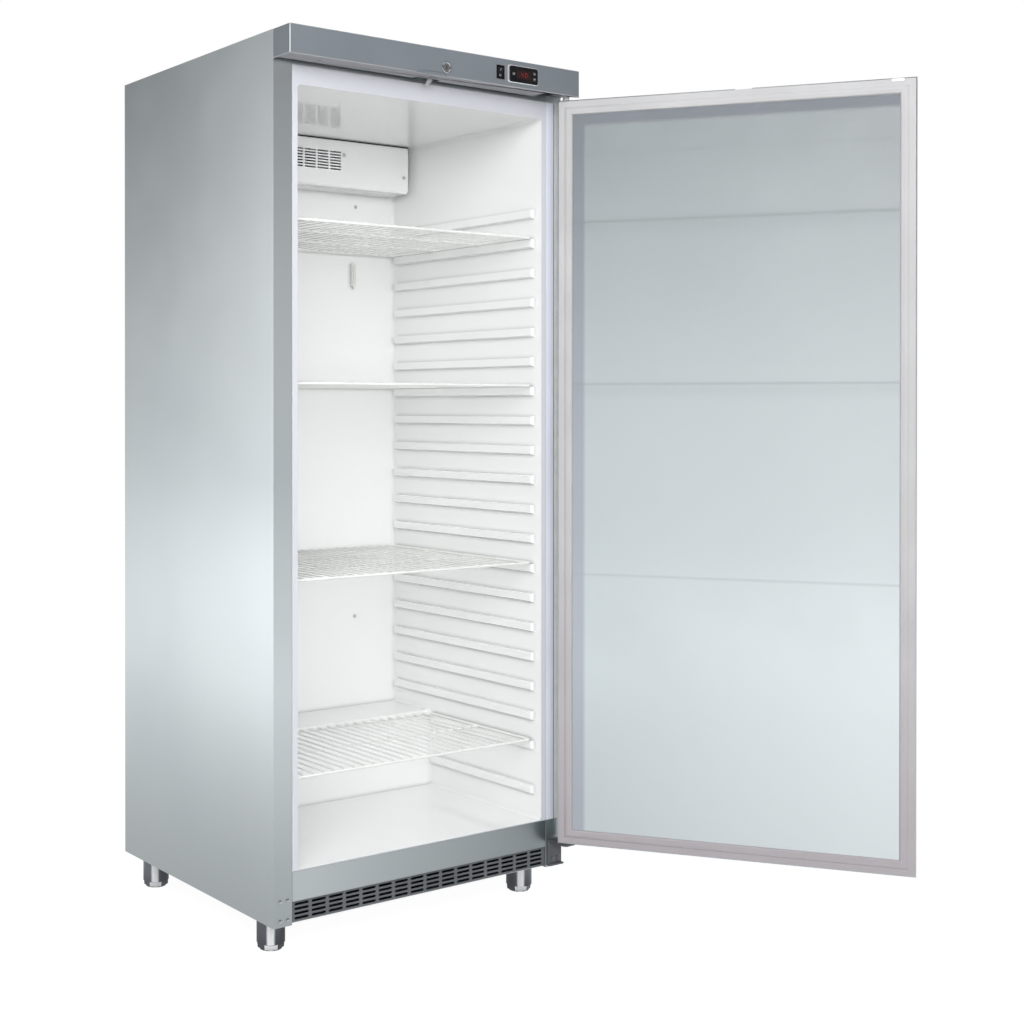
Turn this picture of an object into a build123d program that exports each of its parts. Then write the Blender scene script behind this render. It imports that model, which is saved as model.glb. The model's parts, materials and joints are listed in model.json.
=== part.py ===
"""Upright reach-in refrigerator with one hinged door, built piece by piece.

X runs to the right, Y to the back, Z up. The origin is on the floor, under the
middle of the cabinet body. The door stands open at DOOR_OPEN degrees.
"""

import os
from math import cos, radians, sin

from build123d import *

os.makedirs("parts", exist_ok=True)

# ---- Overall size ------------------------------------------------------------
WIDTH = 777.0
DEPTH = 676.0
HEIGHT = 1895.0
BASE_Z = 72.0
SHEET = 1.0
FIT = 0.05
GAP = 0.3

SIDE_X = WIDTH / 2
FRONT_Y = -DEPTH / 2
BACK_Y = DEPTH / 2

# ---- Front frame --------------------------------------------------------------
POST_W = 45.0
POST_RETURN = 12.0
REAR_RETURN = 20.0
RAIL_H = 62.0
RAIL_LOW_Z = BASE_Z + 47.0
RAIL_TOP_Z = RAIL_LOW_Z + RAIL_H
GRILLE_Z = (BASE_Z + 4.0, RAIL_LOW_Z - SHEET)
GRILLE_PITCH = 42.4
GRILLE_SET_BACK = 5.0

# ---- Insulated cavity -----------------------------------------------------------
SIDE_WALL = 58.0
BACK_WALL = 99.0
CEILING_WALL = 105.0
STEP_DEEP = 157.0
STEP_H = 186.0
LINER_T = 2.0
CAVITY_W = WIDTH - 2 * SIDE_WALL
CAVITY_BACK_Y = BACK_Y - BACK_WALL
FLOOR_Z = RAIL_TOP_Z + LINER_T
CEILING_Z = HEIGHT - CEILING_WALL
STEP_Y = CAVITY_BACK_Y - STEP_DEEP
STEP_Z = FLOOR_Z + STEP_H
LINER_TOP_Z = HEIGHT - 66.0
CORNER_R = 14.0
STEP_R = 12.0
EDGE_R = 8.0
FOAM_FLOOR = 51.0
FOAM_STEP = 48.0

# ---- Shelf ribs and shelves --------------------------------------------------------
RIB_PITCH = 68.0
RIB_FIRST_Z = STEP_Z - 9.0
RIB_LOWEST_Z = RIB_FIRST_Z - 102.0
RIB_CLEAR = 206.0
RIB_COUNT = int((CEILING_Z - RIB_CLEAR - RIB_FIRST_Z) / RIB_PITCH) + 1
RIB_H = 25.0
RIB_TIP_H = 17.0
RIB_DEEP = 11.0
RIB_FRONT_Y = FRONT_Y + 25.0
SHELF_RIBS = (RIB_COUNT - 2, RIB_COUNT - 7, RIB_COUNT - 13, 0)
SHELF_W = CAVITY_W - 11.0
SHELF_FRONT_Y = RIB_FRONT_Y + 1.0
SHELF_BACK_Y = CAVITY_BACK_Y - 7.0
LOW_SHELF_BACK_Y = STEP_Y - 6.0
FRAME_WIRE_R = 3.0
FRAME_CORNER_R = 10.0
CROSS_WIRE_R = 2.4
GRID_WIRE_R = 1.7
GRID_WIRES = 24

# ---- Header box --------------------------------------------------------------------
HEADER_OUT = 63.0
HEADER_H = 60.0
HEADER_LOW_Z = HEIGHT - HEADER_H
HEADER_LIP = 49.0
HEADER_FRONT_Y = FRONT_Y - HEADER_OUT
RAISED_X = SIDE_X - 97.5
RAISED_Z = HEADER_LOW_Z + 13.0
LOCK_X, LOCK_Z = 5.0, HEADER_LOW_Z + 20.0
SWITCH_X, SWITCH_Z = SIDE_X - 233.5, HEADER_LOW_Z + 29.0
SWITCH_W, SWITCH_H = 22.0, 30.0
PANEL_X, PANEL_Z = SIDE_X - 166.5, HEADER_LOW_Z + 29.5
PANEL_W, PANEL_H = 80.0, 36.0

# ---- Door -----------------------------------------------------------------------------
DOOR_OPEN = 125.0
DOOR_X = SIDE_X - 3.0
DOOR_Z = (RAIL_LOW_Z + 18.0, HEADER_LOW_Z - 9.0)
DOOR_FRONT_Y = HEADER_FRONT_Y + 1.0
DOOR_INNER_Y = FRONT_Y - 10.0
DOOR_LIP = 16.0
GASKET_W = 18.0
PIVOT_X = SIDE_X - 16.0
PIVOT_Y = FRONT_Y - 36.0
PIN_R = 5.0
BUSH_R = 9.0
HANDLE_X, HANDLE_Z = -DOOR_X + 55.5, 1000.0
HANDLE_W, HANDLE_H, HANDLE_DEEP = 60.0, 150.0, 26.0

# ---- Lock cam --------------------------------------------------------------------------
CAM_REACH = 43.0
CAM_REST = 33.0
CAM_Y = (FRONT_Y - 23.0, FRONT_Y - 20.0)
STRIKE_X = (LOCK_X - 51.0, LOCK_X + 9.0)
STRIKE_Y = (FRONT_Y - 26.5, FRONT_Y - 14.0)
STRIKE_LOW_Z = LOCK_Z - CAM_REACH - 1.5
STRIKE_MOUTH_X = LOCK_X - 14.0

# ---- Evaporator under the ceiling ---------------------------------------------------------
COVER_X = CAVITY_W / 2 - 16.5
COVER_FRONT_Y = CAVITY_BACK_Y - 85.0
COVER_H = 118.0
COVER_T = 2.5
COVER_LOW_Z = CEILING_Z - COVER_H
FAN_Z = CEILING_Z - 53.0
COLD_FAN_R = 44.0

# ---- Machine compartment --------------------------------------------------------------------
SHIELD_Z = FLOOR_Z - LINER_T - FOAM_FLOOR
SHIELD_Y = STEP_Y + LINER_T + FOAM_STEP
SHIELD_TOP_Z = STEP_Z - LINER_T - FOAM_STEP
PAN_T = 1.5
PAN_TOP_Z = BASE_Z + PAN_T
COMPRESSOR_X, COMPRESSOR_Y = SIDE_X - 183.5, BACK_Y - 103.0
COMPRESSOR_R = 78.0
COMPRESSOR_H = 162.0
MOUNT_TOP_Z = PAN_TOP_Z + 14.5
CONDENSER_W, CONDENSER_T, CONDENSER_H = 240.0, 45.0, 220.0
CONDENSER_X = (-SIDE_X + 48.5, -SIDE_X + 48.5 + CONDENSER_W)
CONDENSER_Y = (SHIELD_Y + 28.0, SHIELD_Y + 28.0 + CONDENSER_T)
CONDENSER_Z = (PAN_TOP_Z + 6.5, PAN_TOP_Z + 6.5 + CONDENSER_H)
HOT_FAN_R = 88.0

# ---- Feet --------------------------------------------------------------------------------------
FOOT_X = SIDE_X - 48.5
FOOT_FRONT_Y = FRONT_Y + 90.0
FOOT_REAR_Y = BACK_Y - 66.0
LEG_R = 30.0
LEG_LOW_Z = 14.0
STEM_R = 8.0

# ---- Screws -------------------------------------------------------------------------------------
SCREW_R = 2.4
POST_SCREWS = [
    (-SIDE_X + x, z) for z in (RAIL_LOW_Z + 5.0, BASE_Z + 12.0) for x in (16.5, 34.5)
]
BRACKET_BOLTS = [(SIDE_X - x, BASE_Z + 18.0) for x in (27.5, 11.5)]
WALL_SCREWS = [(207.0, STEP_Z + 228.0), (210.0, CEILING_Z - 150.0)]
COVER_SCREWS = [(-117.0, 38.0), (117.0, 38.0), (-COVER_X + 14, 78.0), (COVER_X - 14, 78.0)]
LIP_SCREW_X = -SIDE_X + 87.5


def block(x, y, z, mode=Mode.ADD):
    """A box given by its low and high X, Y and Z."""
    with Locations(((x[0] + x[1]) / 2, (y[0] + y[1]) / 2, (z[0] + z[1]) / 2)):
        Box(x[1] - x[0], y[1] - y[0], z[1] - z[0], mode=mode)


def rod_x(x, y, z, r, mode=Mode.ADD):
    """A round bar along X."""
    with Locations(((x[0] + x[1]) / 2, y, z)):
        Cylinder(r, x[1] - x[0], rotation=(0, 90, 0), mode=mode)


def rod_y(x, y, z, r, mode=Mode.ADD):
    """A round bar along Y."""
    with Locations((x, (y[0] + y[1]) / 2, z)):
        Cylinder(r, y[1] - y[0], rotation=(90, 0, 0), mode=mode)


def rod_z(x, y, z, r, mode=Mode.ADD):
    """A round bar along Z."""
    with Locations((x, y, (z[0] + z[1]) / 2)):
        Cylinder(r, z[1] - z[0], mode=mode)


def ball(x, y, z, r):
    """A ball that closes the corner between two bars."""
    with Locations((x, y, z)):
        Sphere(r)


def rect(x, y, mode=Mode.ADD):
    """A rectangle in a sketch, by its low and high X and Y."""
    with Locations(((x[0] + x[1]) / 2, (y[0] + y[1]) / 2)):
        Rectangle(x[1] - x[0], y[1] - y[0], mode=mode)


def rib_tops():
    """Heights of the ledges that a shelf can rest on."""
    return [RIB_LOWEST_Z] + [RIB_FIRST_Z + RIB_PITCH * i for i in range(RIB_COUNT)]


def cavity(grow, front):
    """The cold space, grown outwards by a wall thickness, open at the front."""
    half = CAVITY_W / 2 + grow
    back = CAVITY_BACK_Y + grow
    step_y = STEP_Y + grow
    step_z = STEP_Z - grow
    low = FLOOR_Z - grow
    top = CEILING_Z + grow
    with BuildPart() as space:
        with BuildSketch(Plane.YZ.offset(-half)) as side:
            with BuildLine():
                Polyline(
                    (front, low),
                    (step_y, low),
                    (step_y, step_z),
                    (back, step_z),
                    (back, top),
                    (front, top),
                    close=True,
                )
            make_face()
            inner = [v for v in side.vertices() if v.X > front + 1]
            noses = [v for v in inner if abs(v.X - step_y) + abs(v.Y - step_z) < 1]
            hollows = [v for v in inner if abs(v.X - step_y) + abs(v.Y - step_z) > 1]
            fillet(noses, STEP_R - grow)
            fillet(hollows, CORNER_R + grow)
        extrude(amount=2 * half)
        rims = [
            e
            for e in space.edges()
            if abs(abs(e.center().X) - half) < 0.01 and e.center().Y > front + 0.01
        ]
        fillet(rims, EDGE_R + grow)
        root, tip = RIB_H / 2 - grow, RIB_TIP_H / 2 - grow
        wall = half + 1
        ledge = CAVITY_W / 2 - RIB_DEEP + grow
        for tops, rib_back in (
            (rib_tops()[2:], CAVITY_BACK_Y - 16),
            (rib_tops()[:2], STEP_Y - 16),
        ):
            with BuildSketch(Plane.XZ.offset(-(RIB_FRONT_Y + grow))):
                for top_z in tops:
                    z = top_z - RIB_TIP_H / 2
                    for s in (-1, 1):
                        with BuildLine():
                            Polyline(
                                (s * wall, z - root),
                                (s * ledge, z - tip),
                                (s * ledge, z + tip),
                                (s * wall, z + tip + 1),
                                close=True,
                            )
                        make_face()
            extrude(
                amount=-(rib_back - RIB_FRONT_Y - 2 * grow), mode=Mode.SUBTRACT
            )
    return space.part


COLD_SPACE = cavity(0.0, FRONT_Y - 5.0)
LINER_OUTSIDE = cavity(LINER_T, FRONT_Y)

# ---- Outer shell ---------------------------------------------------------------------
for name, s in (("side_panel_left", -1), ("side_panel_right", 1)):
    with BuildPart() as side_panel:
        with BuildSketch(Plane.XY.offset(BASE_Z)):
            with BuildLine():
                inner = SIDE_X - POST_W
                Polyline(
                    (s * SIDE_X, BACK_Y),
                    (s * SIDE_X, FRONT_Y),
                    (s * inner, FRONT_Y),
                    (s * inner, FRONT_Y + POST_RETURN),
                    (s * (inner + SHEET), FRONT_Y + POST_RETURN),
                    (s * (inner + SHEET), FRONT_Y + SHEET),
                    (s * (SIDE_X - SHEET), FRONT_Y + SHEET),
                    (s * (SIDE_X - SHEET), BACK_Y - SHEET),
                    (s * (SIDE_X - REAR_RETURN), BACK_Y - SHEET),
                    (s * (SIDE_X - REAR_RETURN), BACK_Y),
                    close=True,
                )
            make_face()
        extrude(amount=HEIGHT - BASE_Z)
        for x, z in POST_SCREWS + BRACKET_BOLTS:
            if x * s > 0:
                rod_y(x, (FRONT_Y - 2, FRONT_Y + 3), z, SCREW_R + FIT, Mode.SUBTRACT)
    side_panel.part.label = name
    export_step(side_panel.part, f"parts/{name}.step")

SKIN_X = SIDE_X - SHEET
RAIL_X = SIDE_X - POST_W

with BuildPart() as top_panel:
    block(
        (-SKIN_X, SKIN_X),
        (FRONT_Y + SHEET, BACK_Y - SHEET),
        (HEIGHT - SHEET, HEIGHT),
    )
    for s in (-1, 1):
        near, far = sorted((s * (RAIL_X - FIT), s * (RAIL_X + SHEET + FIT)))
        block(
            (near, far),
            (FRONT_Y, FRONT_Y + POST_RETURN + FIT),
            (HEIGHT - 2, HEIGHT + 1),
            Mode.SUBTRACT,
        )
    block(
        (-RAIL_X + FIT, RAIL_X - FIT),
        (FRONT_Y, FRONT_Y + LINER_T),
        (LINER_TOP_Z, HEIGHT),
    )
top_panel.part.label = "top_panel"
export_step(top_panel.part, "parts/top_panel.step")

with BuildPart() as back_panel:
    block(
        (-SKIN_X, SKIN_X),
        (BACK_Y - 2 * SHEET, BACK_Y - SHEET),
        (SHIELD_TOP_Z, HEIGHT - SHEET),
    )
back_panel.part.label = "back_panel"
export_step(back_panel.part, "parts/back_panel.step")

with BuildPart() as base_pan:
    block((-SKIN_X, SKIN_X), (FRONT_Y + 12, BACK_Y - 2 * SHEET), (BASE_Z, PAN_TOP_Z))
    for s in (-1, 1):
        inner, outer = sorted((s * SKIN_X, s * (SKIN_X - PAN_T)))
        block((inner, outer), (FRONT_Y + 12, BACK_Y - 2 * SHEET), (BASE_Z, BASE_Z + 25))
base_pan.part.label = "base_pan"
export_step(base_pan.part, "parts/base_pan.step")

with BuildPart() as compartment_shield:
    with BuildSketch(Plane.YZ.offset(-SKIN_X)):
        with BuildLine():
            Polyline(
                (FRONT_Y + SHEET, SHIELD_Z),
                (SHIELD_Y, SHIELD_Z),
                (SHIELD_Y, SHIELD_TOP_Z),
                (BACK_Y - 2 * SHEET, SHIELD_TOP_Z),
                (BACK_Y - 2 * SHEET, SHIELD_TOP_Z - SHEET),
                (SHIELD_Y + SHEET, SHIELD_TOP_Z - SHEET),
                (SHIELD_Y + SHEET, SHIELD_Z - SHEET),
                (FRONT_Y + SHEET, SHIELD_Z - SHEET),
                close=True,
            )
        make_face()
    extrude(amount=2 * SKIN_X)
    for s in (-1, 1):
        near, far = sorted((s * (RAIL_X - FIT), s * SIDE_X))
        block(
            (near, far),
            (FRONT_Y, FRONT_Y + POST_RETURN + FIT),
            (SHIELD_Z - 2, SHIELD_Z + 1),
            Mode.SUBTRACT,
        )
compartment_shield.part.label = "compartment_shield"
export_step(compartment_shield.part, "parts/compartment_shield.step")

# ---- Insulation, one slab per wall ------------------------------------------------------
FOAM_SPLIT_X = CAVITY_W / 2 + LINER_T - RIB_DEEP
FOAM_FRONT_Y = FRONT_Y + LINER_T
FOAM_BACK_Y = BACK_Y - 2 * SHEET
FOAM_TOP_Z = HEIGHT - SHEET

for name, s in (("foam_left", -1), ("foam_right", 1)):
    with BuildPart() as foam_side:
        with BuildSketch(Plane.XY.offset(SHIELD_Z)):
            near, far = sorted((s * FOAM_SPLIT_X, s * SKIN_X))
            rect((near, far), (FRONT_Y + POST_RETURN, FOAM_BACK_Y))
            near, far = sorted((s * FOAM_SPLIT_X, s * (RAIL_X - FIT)))
            rect((near, far), (FOAM_FRONT_Y, FRONT_Y + POST_RETURN))
            near, far = sorted((s * (RAIL_X + SHEET + FIT), s * SKIN_X))
            rect((near, far), (FRONT_Y + SHEET, FRONT_Y + POST_RETURN))
        extrude(amount=FOAM_TOP_Z - SHIELD_Z)
        block(
            (-SIDE_X, SIDE_X),
            (SHIELD_Y, BACK_Y),
            (SHIELD_Z - 1, SHIELD_TOP_Z),
            Mode.SUBTRACT,
        )
        add(LINER_OUTSIDE, mode=Mode.SUBTRACT)
    foam_side.part.label = name
    export_step(foam_side.part, f"parts/{name}.step")

with BuildPart() as foam_back_top:
    block(
        (-FOAM_SPLIT_X, FOAM_SPLIT_X),
        (FOAM_FRONT_Y, FOAM_BACK_Y),
        (CEILING_Z + LINER_T, FOAM_TOP_Z),
    )
    block(
        (-FOAM_SPLIT_X, FOAM_SPLIT_X),
        (CAVITY_BACK_Y - 20, FOAM_BACK_Y),
        (STEP_Z - LINER_T, CEILING_Z + LINER_T),
    )
    add(LINER_OUTSIDE, mode=Mode.SUBTRACT)
    for x, z in WALL_SCREWS:
        rod_y(x, (CAVITY_BACK_Y, CAVITY_BACK_Y + 11), z, SCREW_R + FIT, Mode.SUBTRACT)
foam_back_top.part.label = "foam_back_top"
export_step(foam_back_top.part, "parts/foam_back_top.step")

with BuildPart() as foam_floor:
    block(
        (-FOAM_SPLIT_X, FOAM_SPLIT_X),
        (FRONT_Y + SHEET, SHIELD_Y),
        (SHIELD_Z, FLOOR_Z - LINER_T),
    )
    block(
        (-FOAM_SPLIT_X, FOAM_SPLIT_X),
        (STEP_Y - 18, SHIELD_Y),
        (FLOOR_Z - LINER_T, STEP_Z - LINER_T),
    )
    block(
        (-FOAM_SPLIT_X, FOAM_SPLIT_X),
        (SHIELD_Y, FOAM_BACK_Y),
        (SHIELD_TOP_Z, STEP_Z - LINER_T),
    )
    add(LINER_OUTSIDE, mode=Mode.SUBTRACT)
foam_floor.part.label = "foam_floor"
export_step(foam_floor.part, "parts/foam_floor.step")

# ---- White moulded liner with its front flange -----------------------------------------------
with BuildPart() as inner_liner:
    add(LINER_OUTSIDE)
    block(
        (-RAIL_X + FIT, RAIL_X - FIT),
        (FRONT_Y, FRONT_Y + LINER_T),
        (RAIL_TOP_Z, LINER_TOP_Z),
    )
    add(COLD_SPACE, mode=Mode.SUBTRACT)
    for x, z in WALL_SCREWS:
        rod_y(x, (CAVITY_BACK_Y - 5, CAVITY_BACK_Y + 5), z, SCREW_R + FIT, Mode.SUBTRACT)
inner_liner.part.label = "inner_liner"
export_step(inner_liner.part, "parts/inner_liner.step")

# ---- Lower front panel and base grille ----------------------------------------------------------------
with BuildPart() as lower_front_panel:
    block(
        (-RAIL_X, RAIL_X),
        (FRONT_Y, FRONT_Y + SHEET),
        (RAIL_LOW_Z, RAIL_TOP_Z),
    )
    block((-RAIL_X, RAIL_X), (FRONT_Y, FRONT_Y + 20), (RAIL_LOW_Z, RAIL_LOW_Z + SHEET))
lower_front_panel.part.label = "lower_front_panel"
export_step(lower_front_panel.part, "parts/lower_front_panel.step")

with BuildPart() as base_grille:
    grille_y = FRONT_Y + GRILLE_SET_BACK
    grille_mid = (GRILLE_Z[0] + GRILLE_Z[1]) / 2
    block((-RAIL_X, RAIL_X), (grille_y, grille_y + 1.5), GRILLE_Z)
    block((-RAIL_X, RAIL_X), (grille_y, grille_y + 9), (GRILLE_Z[1], RAIL_LOW_Z))
    with BuildSketch(Plane.XZ.offset(-grille_y + 1)):
        with Locations((0, grille_mid)):
            with GridLocations(GRILLE_PITCH, 9.6, int(2 * RAIL_X / GRILLE_PITCH), 4):
                SlotOverall(35, 5.4)
    extrude(amount=-4, mode=Mode.SUBTRACT)
base_grille.part.label = "base_grille"
export_step(base_grille.part, "parts/base_grille.step")

# ---- Header box -------------------------------------------------------------------------------------
HEADER_IN_Y = HEADER_FRONT_Y + SHEET
CAM_SLOT_X = (STRIKE_X[0] - 2, STRIKE_X[1] + 2)

with BuildPart() as header_cover:
    block((-SIDE_X, SIDE_X), (HEADER_FRONT_Y, FRONT_Y), (HEADER_LOW_Z, HEIGHT))
    block(
        (-SKIN_X, SKIN_X),
        (HEADER_IN_Y, FRONT_Y + 1),
        (HEADER_LOW_Z + SHEET, HEIGHT - SHEET),
        Mode.SUBTRACT,
    )
    block(
        (-SKIN_X, SKIN_X),
        (HEADER_FRONT_Y + HEADER_LIP, FRONT_Y + 1),
        (HEADER_LOW_Z - 1, HEIGHT - SHEET),
        Mode.SUBTRACT,
    )
    block(
        (RAISED_X, SIDE_X + 1),
        (HEADER_IN_Y, FRONT_Y + 1),
        (HEADER_LOW_Z - 1, RAISED_Z),
        Mode.SUBTRACT,
    )
    block(
        (RAISED_X - SHEET, SKIN_X),
        (HEADER_FRONT_Y, HEADER_FRONT_Y + HEADER_LIP),
        (RAISED_Z, RAISED_Z + SHEET),
    )
    block(
        (RAISED_X - SHEET, RAISED_X),
        (HEADER_FRONT_Y, HEADER_FRONT_Y + HEADER_LIP),
        (HEADER_LOW_Z, RAISED_Z + SHEET),
    )
    block(
        CAM_SLOT_X,
        (CAM_Y[0] - 4, FRONT_Y),
        (HEADER_LOW_Z - 1, HEADER_LOW_Z + 2),
        Mode.SUBTRACT,
    )
    with BuildSketch(Plane.XZ.offset(-HEADER_FRONT_Y + 1)):
        with BuildLine():
            Polyline(
                (LOCK_X - 85, HEADER_LOW_Z - 1),
                (LOCK_X - 67, HEADER_LOW_Z + 6),
                (LOCK_X - 55, HEADER_LOW_Z + 8),
                (LOCK_X - 5, HEADER_LOW_Z + 8),
                (LOCK_X + 5, HEADER_LOW_Z - 1),
                close=True,
            )
        make_face()
        with Locations((LOCK_X, LOCK_Z)):
            Circle(11.0)
        rect(
            (SWITCH_X - SWITCH_W / 2 + 1, SWITCH_X + SWITCH_W / 2 - 1),
            (SWITCH_Z - SWITCH_H / 2 + 1, SWITCH_Z + SWITCH_H / 2 - 1),
        )
        rect(
            (PANEL_X - PANEL_W / 2 + 4.5, PANEL_X + PANEL_W / 2 - 4.5),
            (PANEL_Z - PANEL_H / 2 + 3.5, PANEL_Z + PANEL_H / 2 - 3.5),
        )
    extrude(amount=-3, mode=Mode.SUBTRACT)
    rod_z(PIVOT_X, PIVOT_Y, (RAISED_Z - 1, RAISED_Z + 2), 9.0, Mode.SUBTRACT)
    rod_z(
        LIP_SCREW_X,
        PIVOT_Y,
        (HEADER_LOW_Z - 1, HEADER_LOW_Z + 2),
        SCREW_R + FIT,
        Mode.SUBTRACT,
    )
header_cover.part.label = "header_cover"
export_step(header_cover.part, "parts/header_cover.step")

# ---- Temperature controller ------------------------------------------------------------------------
CONTROL_FRONT_Y = HEADER_FRONT_Y - 3.0
WINDOW_X, WINDOW_W, WINDOW_H = PANEL_X - 2.0, 40.0, 18.0
BUTTONS = [
    ("button_set", PANEL_X - 31.0, PANEL_Z),
    ("button_up", PANEL_X + 29.0, PANEL_Z + 6.0),
    ("button_down", PANEL_X + 29.0, PANEL_Z - 6.0),
]
BUTTON_W, BUTTON_H = 8.0, 7.0

with BuildPart() as controller_housing:
    with BuildSketch(Plane.XZ.offset(-HEADER_FRONT_Y)):
        with Locations((PANEL_X, PANEL_Z)):
            RectangleRounded(PANEL_W, PANEL_H, 5)
    extrude(amount=3)
    chamfer(controller_housing.faces().sort_by(Axis.Y)[0].edges(), 0.8)
    block(
        (PANEL_X - PANEL_W / 2 + 5, PANEL_X + PANEL_W / 2 - 5),
        (HEADER_FRONT_Y, FRONT_Y - 12),
        (PANEL_Z - PANEL_H / 2 + 4, PANEL_Z + PANEL_H / 2 - 4),
    )
    block(
        (WINDOW_X - WINDOW_W / 2, WINDOW_X + WINDOW_W / 2),
        (CONTROL_FRONT_Y - 1, CONTROL_FRONT_Y + 1.2),
        (PANEL_Z - WINDOW_H / 2, PANEL_Z + WINDOW_H / 2),
        Mode.SUBTRACT,
    )
    for button, x, z in BUTTONS:
        block(
            (x - BUTTON_W / 2 - GAP, x + BUTTON_W / 2 + GAP),
            (CONTROL_FRONT_Y - 1, CONTROL_FRONT_Y + 4.5),
            (z - BUTTON_H / 2 - GAP, z + BUTTON_H / 2 + GAP),
            Mode.SUBTRACT,
        )
controller_housing.part.label = "controller_housing"
export_step(controller_housing.part, "parts/controller_housing.step")

with BuildPart() as controller_window:
    block(
        (WINDOW_X - WINDOW_W / 2, WINDOW_X + WINDOW_W / 2),
        (CONTROL_FRONT_Y + 0.2, CONTROL_FRONT_Y + 1.2),
        (PANEL_Z - WINDOW_H / 2, PANEL_Z + WINDOW_H / 2),
    )
controller_window.part.label = "controller_window"
export_step(controller_window.part, "parts/controller_window.step")

for button, x, z in BUTTONS:
    with BuildPart() as key:
        block(
            (x - BUTTON_W / 2, x + BUTTON_W / 2),
            (CONTROL_FRONT_Y - 0.8, CONTROL_FRONT_Y + 3.2),
            (z - BUTTON_H / 2, z + BUTTON_H / 2),
        )
        chamfer(key.faces().sort_by(Axis.Y)[0].edges(), 0.6)
    key.part.label = button
    export_step(key.part, f"parts/{button}.step")

# ---- Rocker switch -----------------------------------------------------------------------------------
ROCKER_Y = HEADER_FRONT_Y + 4.0
ROCKER_TILT = 8.0
ROCKER_W, ROCKER_HALF = 16.0, 12.0

with BuildPart() as switch_bezel:
    block(
        (SWITCH_X - SWITCH_W / 2, SWITCH_X + SWITCH_W / 2),
        (HEADER_FRONT_Y - 1.5, HEADER_FRONT_Y),
        (SWITCH_Z - SWITCH_H / 2, SWITCH_Z + SWITCH_H / 2),
    )
    block(
        (SWITCH_X - SWITCH_W / 2 + 1.1, SWITCH_X + SWITCH_W / 2 - 1.1),
        (HEADER_FRONT_Y, HEADER_FRONT_Y + 22),
        (SWITCH_Z - SWITCH_H / 2 + 1.1, SWITCH_Z + SWITCH_H / 2 - 1.1),
    )
    block(
        (SWITCH_X - ROCKER_W / 2 - GAP, SWITCH_X + ROCKER_W / 2 + GAP),
        (HEADER_FRONT_Y - 2, HEADER_FRONT_Y + 11),
        (SWITCH_Z - 13.1, SWITCH_Z + 13.1),
        Mode.SUBTRACT,
    )
    for s in (-1, 1):
        near, far = sorted(
            (
                SWITCH_X + s * (ROCKER_W / 2 - 2.0),
                SWITCH_X + s * (ROCKER_W / 2 + GAP),
            )
        )
        rod_x((near, far), ROCKER_Y, SWITCH_Z, 1.5)
switch_bezel.part.label = "switch_bezel"
export_step(switch_bezel.part, "parts/switch_bezel.step")


def tilted(y, z):
    """A point of the rocker's outline, tipped to its pressed position."""
    a = radians(ROCKER_TILT)
    return (
        ROCKER_Y + y * cos(a) - z * sin(a),
        SWITCH_Z + y * sin(a) + z * cos(a),
    )


with BuildPart() as switch_rocker:
    with BuildSketch(Plane.YZ.offset(SWITCH_X - ROCKER_W / 2)):
        with BuildLine():
            Polyline(
                tilted(4, -7),
                tilted(4, 7),
                tilted(0, ROCKER_HALF),
                tilted(-5.5, ROCKER_HALF),
                tilted(-3.5, 0),
                tilted(-5.5, -ROCKER_HALF),
                tilted(0, -ROCKER_HALF),
                close=True,
            )
        make_face()
    extrude(amount=ROCKER_W)
    for s in (-1, 1):
        near, far = sorted(
            (SWITCH_X + s * (ROCKER_W / 2 - 2.1), SWITCH_X + s * (ROCKER_W / 2 + 1))
        )
        rod_x((near, far), ROCKER_Y, SWITCH_Z, 1.5 + FIT, Mode.SUBTRACT)
switch_rocker.part.label = "switch_rocker"
export_step(switch_rocker.part, "parts/switch_rocker.step")

# ---- Door lock in the header -----------------------------------------------------------------------------
BARREL_R = 8.0
BARREL_END_Y = CAM_Y[0]

with BuildPart() as lock_housing:
    rod_y(LOCK_X, (HEADER_FRONT_Y - 2.5, HEADER_FRONT_Y), LOCK_Z, 13.0)
    rod_y(LOCK_X, (HEADER_FRONT_Y, BARREL_END_Y - 1), LOCK_Z, 11.0 - FIT)
    with BuildSketch(Plane.XZ.offset(-HEADER_IN_Y)):
        with Locations((LOCK_X, LOCK_Z)):
            RegularPolygon(14.5, 6)
    extrude(amount=-5)
    rod_y(
        LOCK_X,
        (HEADER_FRONT_Y - 4, BARREL_END_Y),
        LOCK_Z,
        BARREL_R + FIT,
        Mode.SUBTRACT,
    )
lock_housing.part.label = "lock_housing"
export_step(lock_housing.part, "parts/lock_housing.step")


def cam_point(along, across):
    """A point on the cam, along and across its arm, at the resting angle."""
    a = radians(CAM_REST)
    return (
        LOCK_X - along * sin(a) + across * cos(a),
        LOCK_Z - along * cos(a) - across * sin(a),
    )


with BuildPart() as lock_barrel:
    rod_y(LOCK_X, (HEADER_FRONT_Y - 2.0, BARREL_END_Y), LOCK_Z, BARREL_R)
    block(
        (LOCK_X - 1, LOCK_X + 1),
        (HEADER_FRONT_Y - 3, HEADER_FRONT_Y + 6),
        (LOCK_Z - 5, LOCK_Z + 5),
        Mode.SUBTRACT,
    )
    rod_y(LOCK_X, (BARREL_END_Y, CAM_Y[1]), LOCK_Z, 4.0)
    rod_y(LOCK_X, (CAM_Y[1], CAM_Y[1] + 3), LOCK_Z, 6.5)
lock_barrel.part.label = "lock_barrel"
export_step(lock_barrel.part, "parts/lock_barrel.step")

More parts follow.
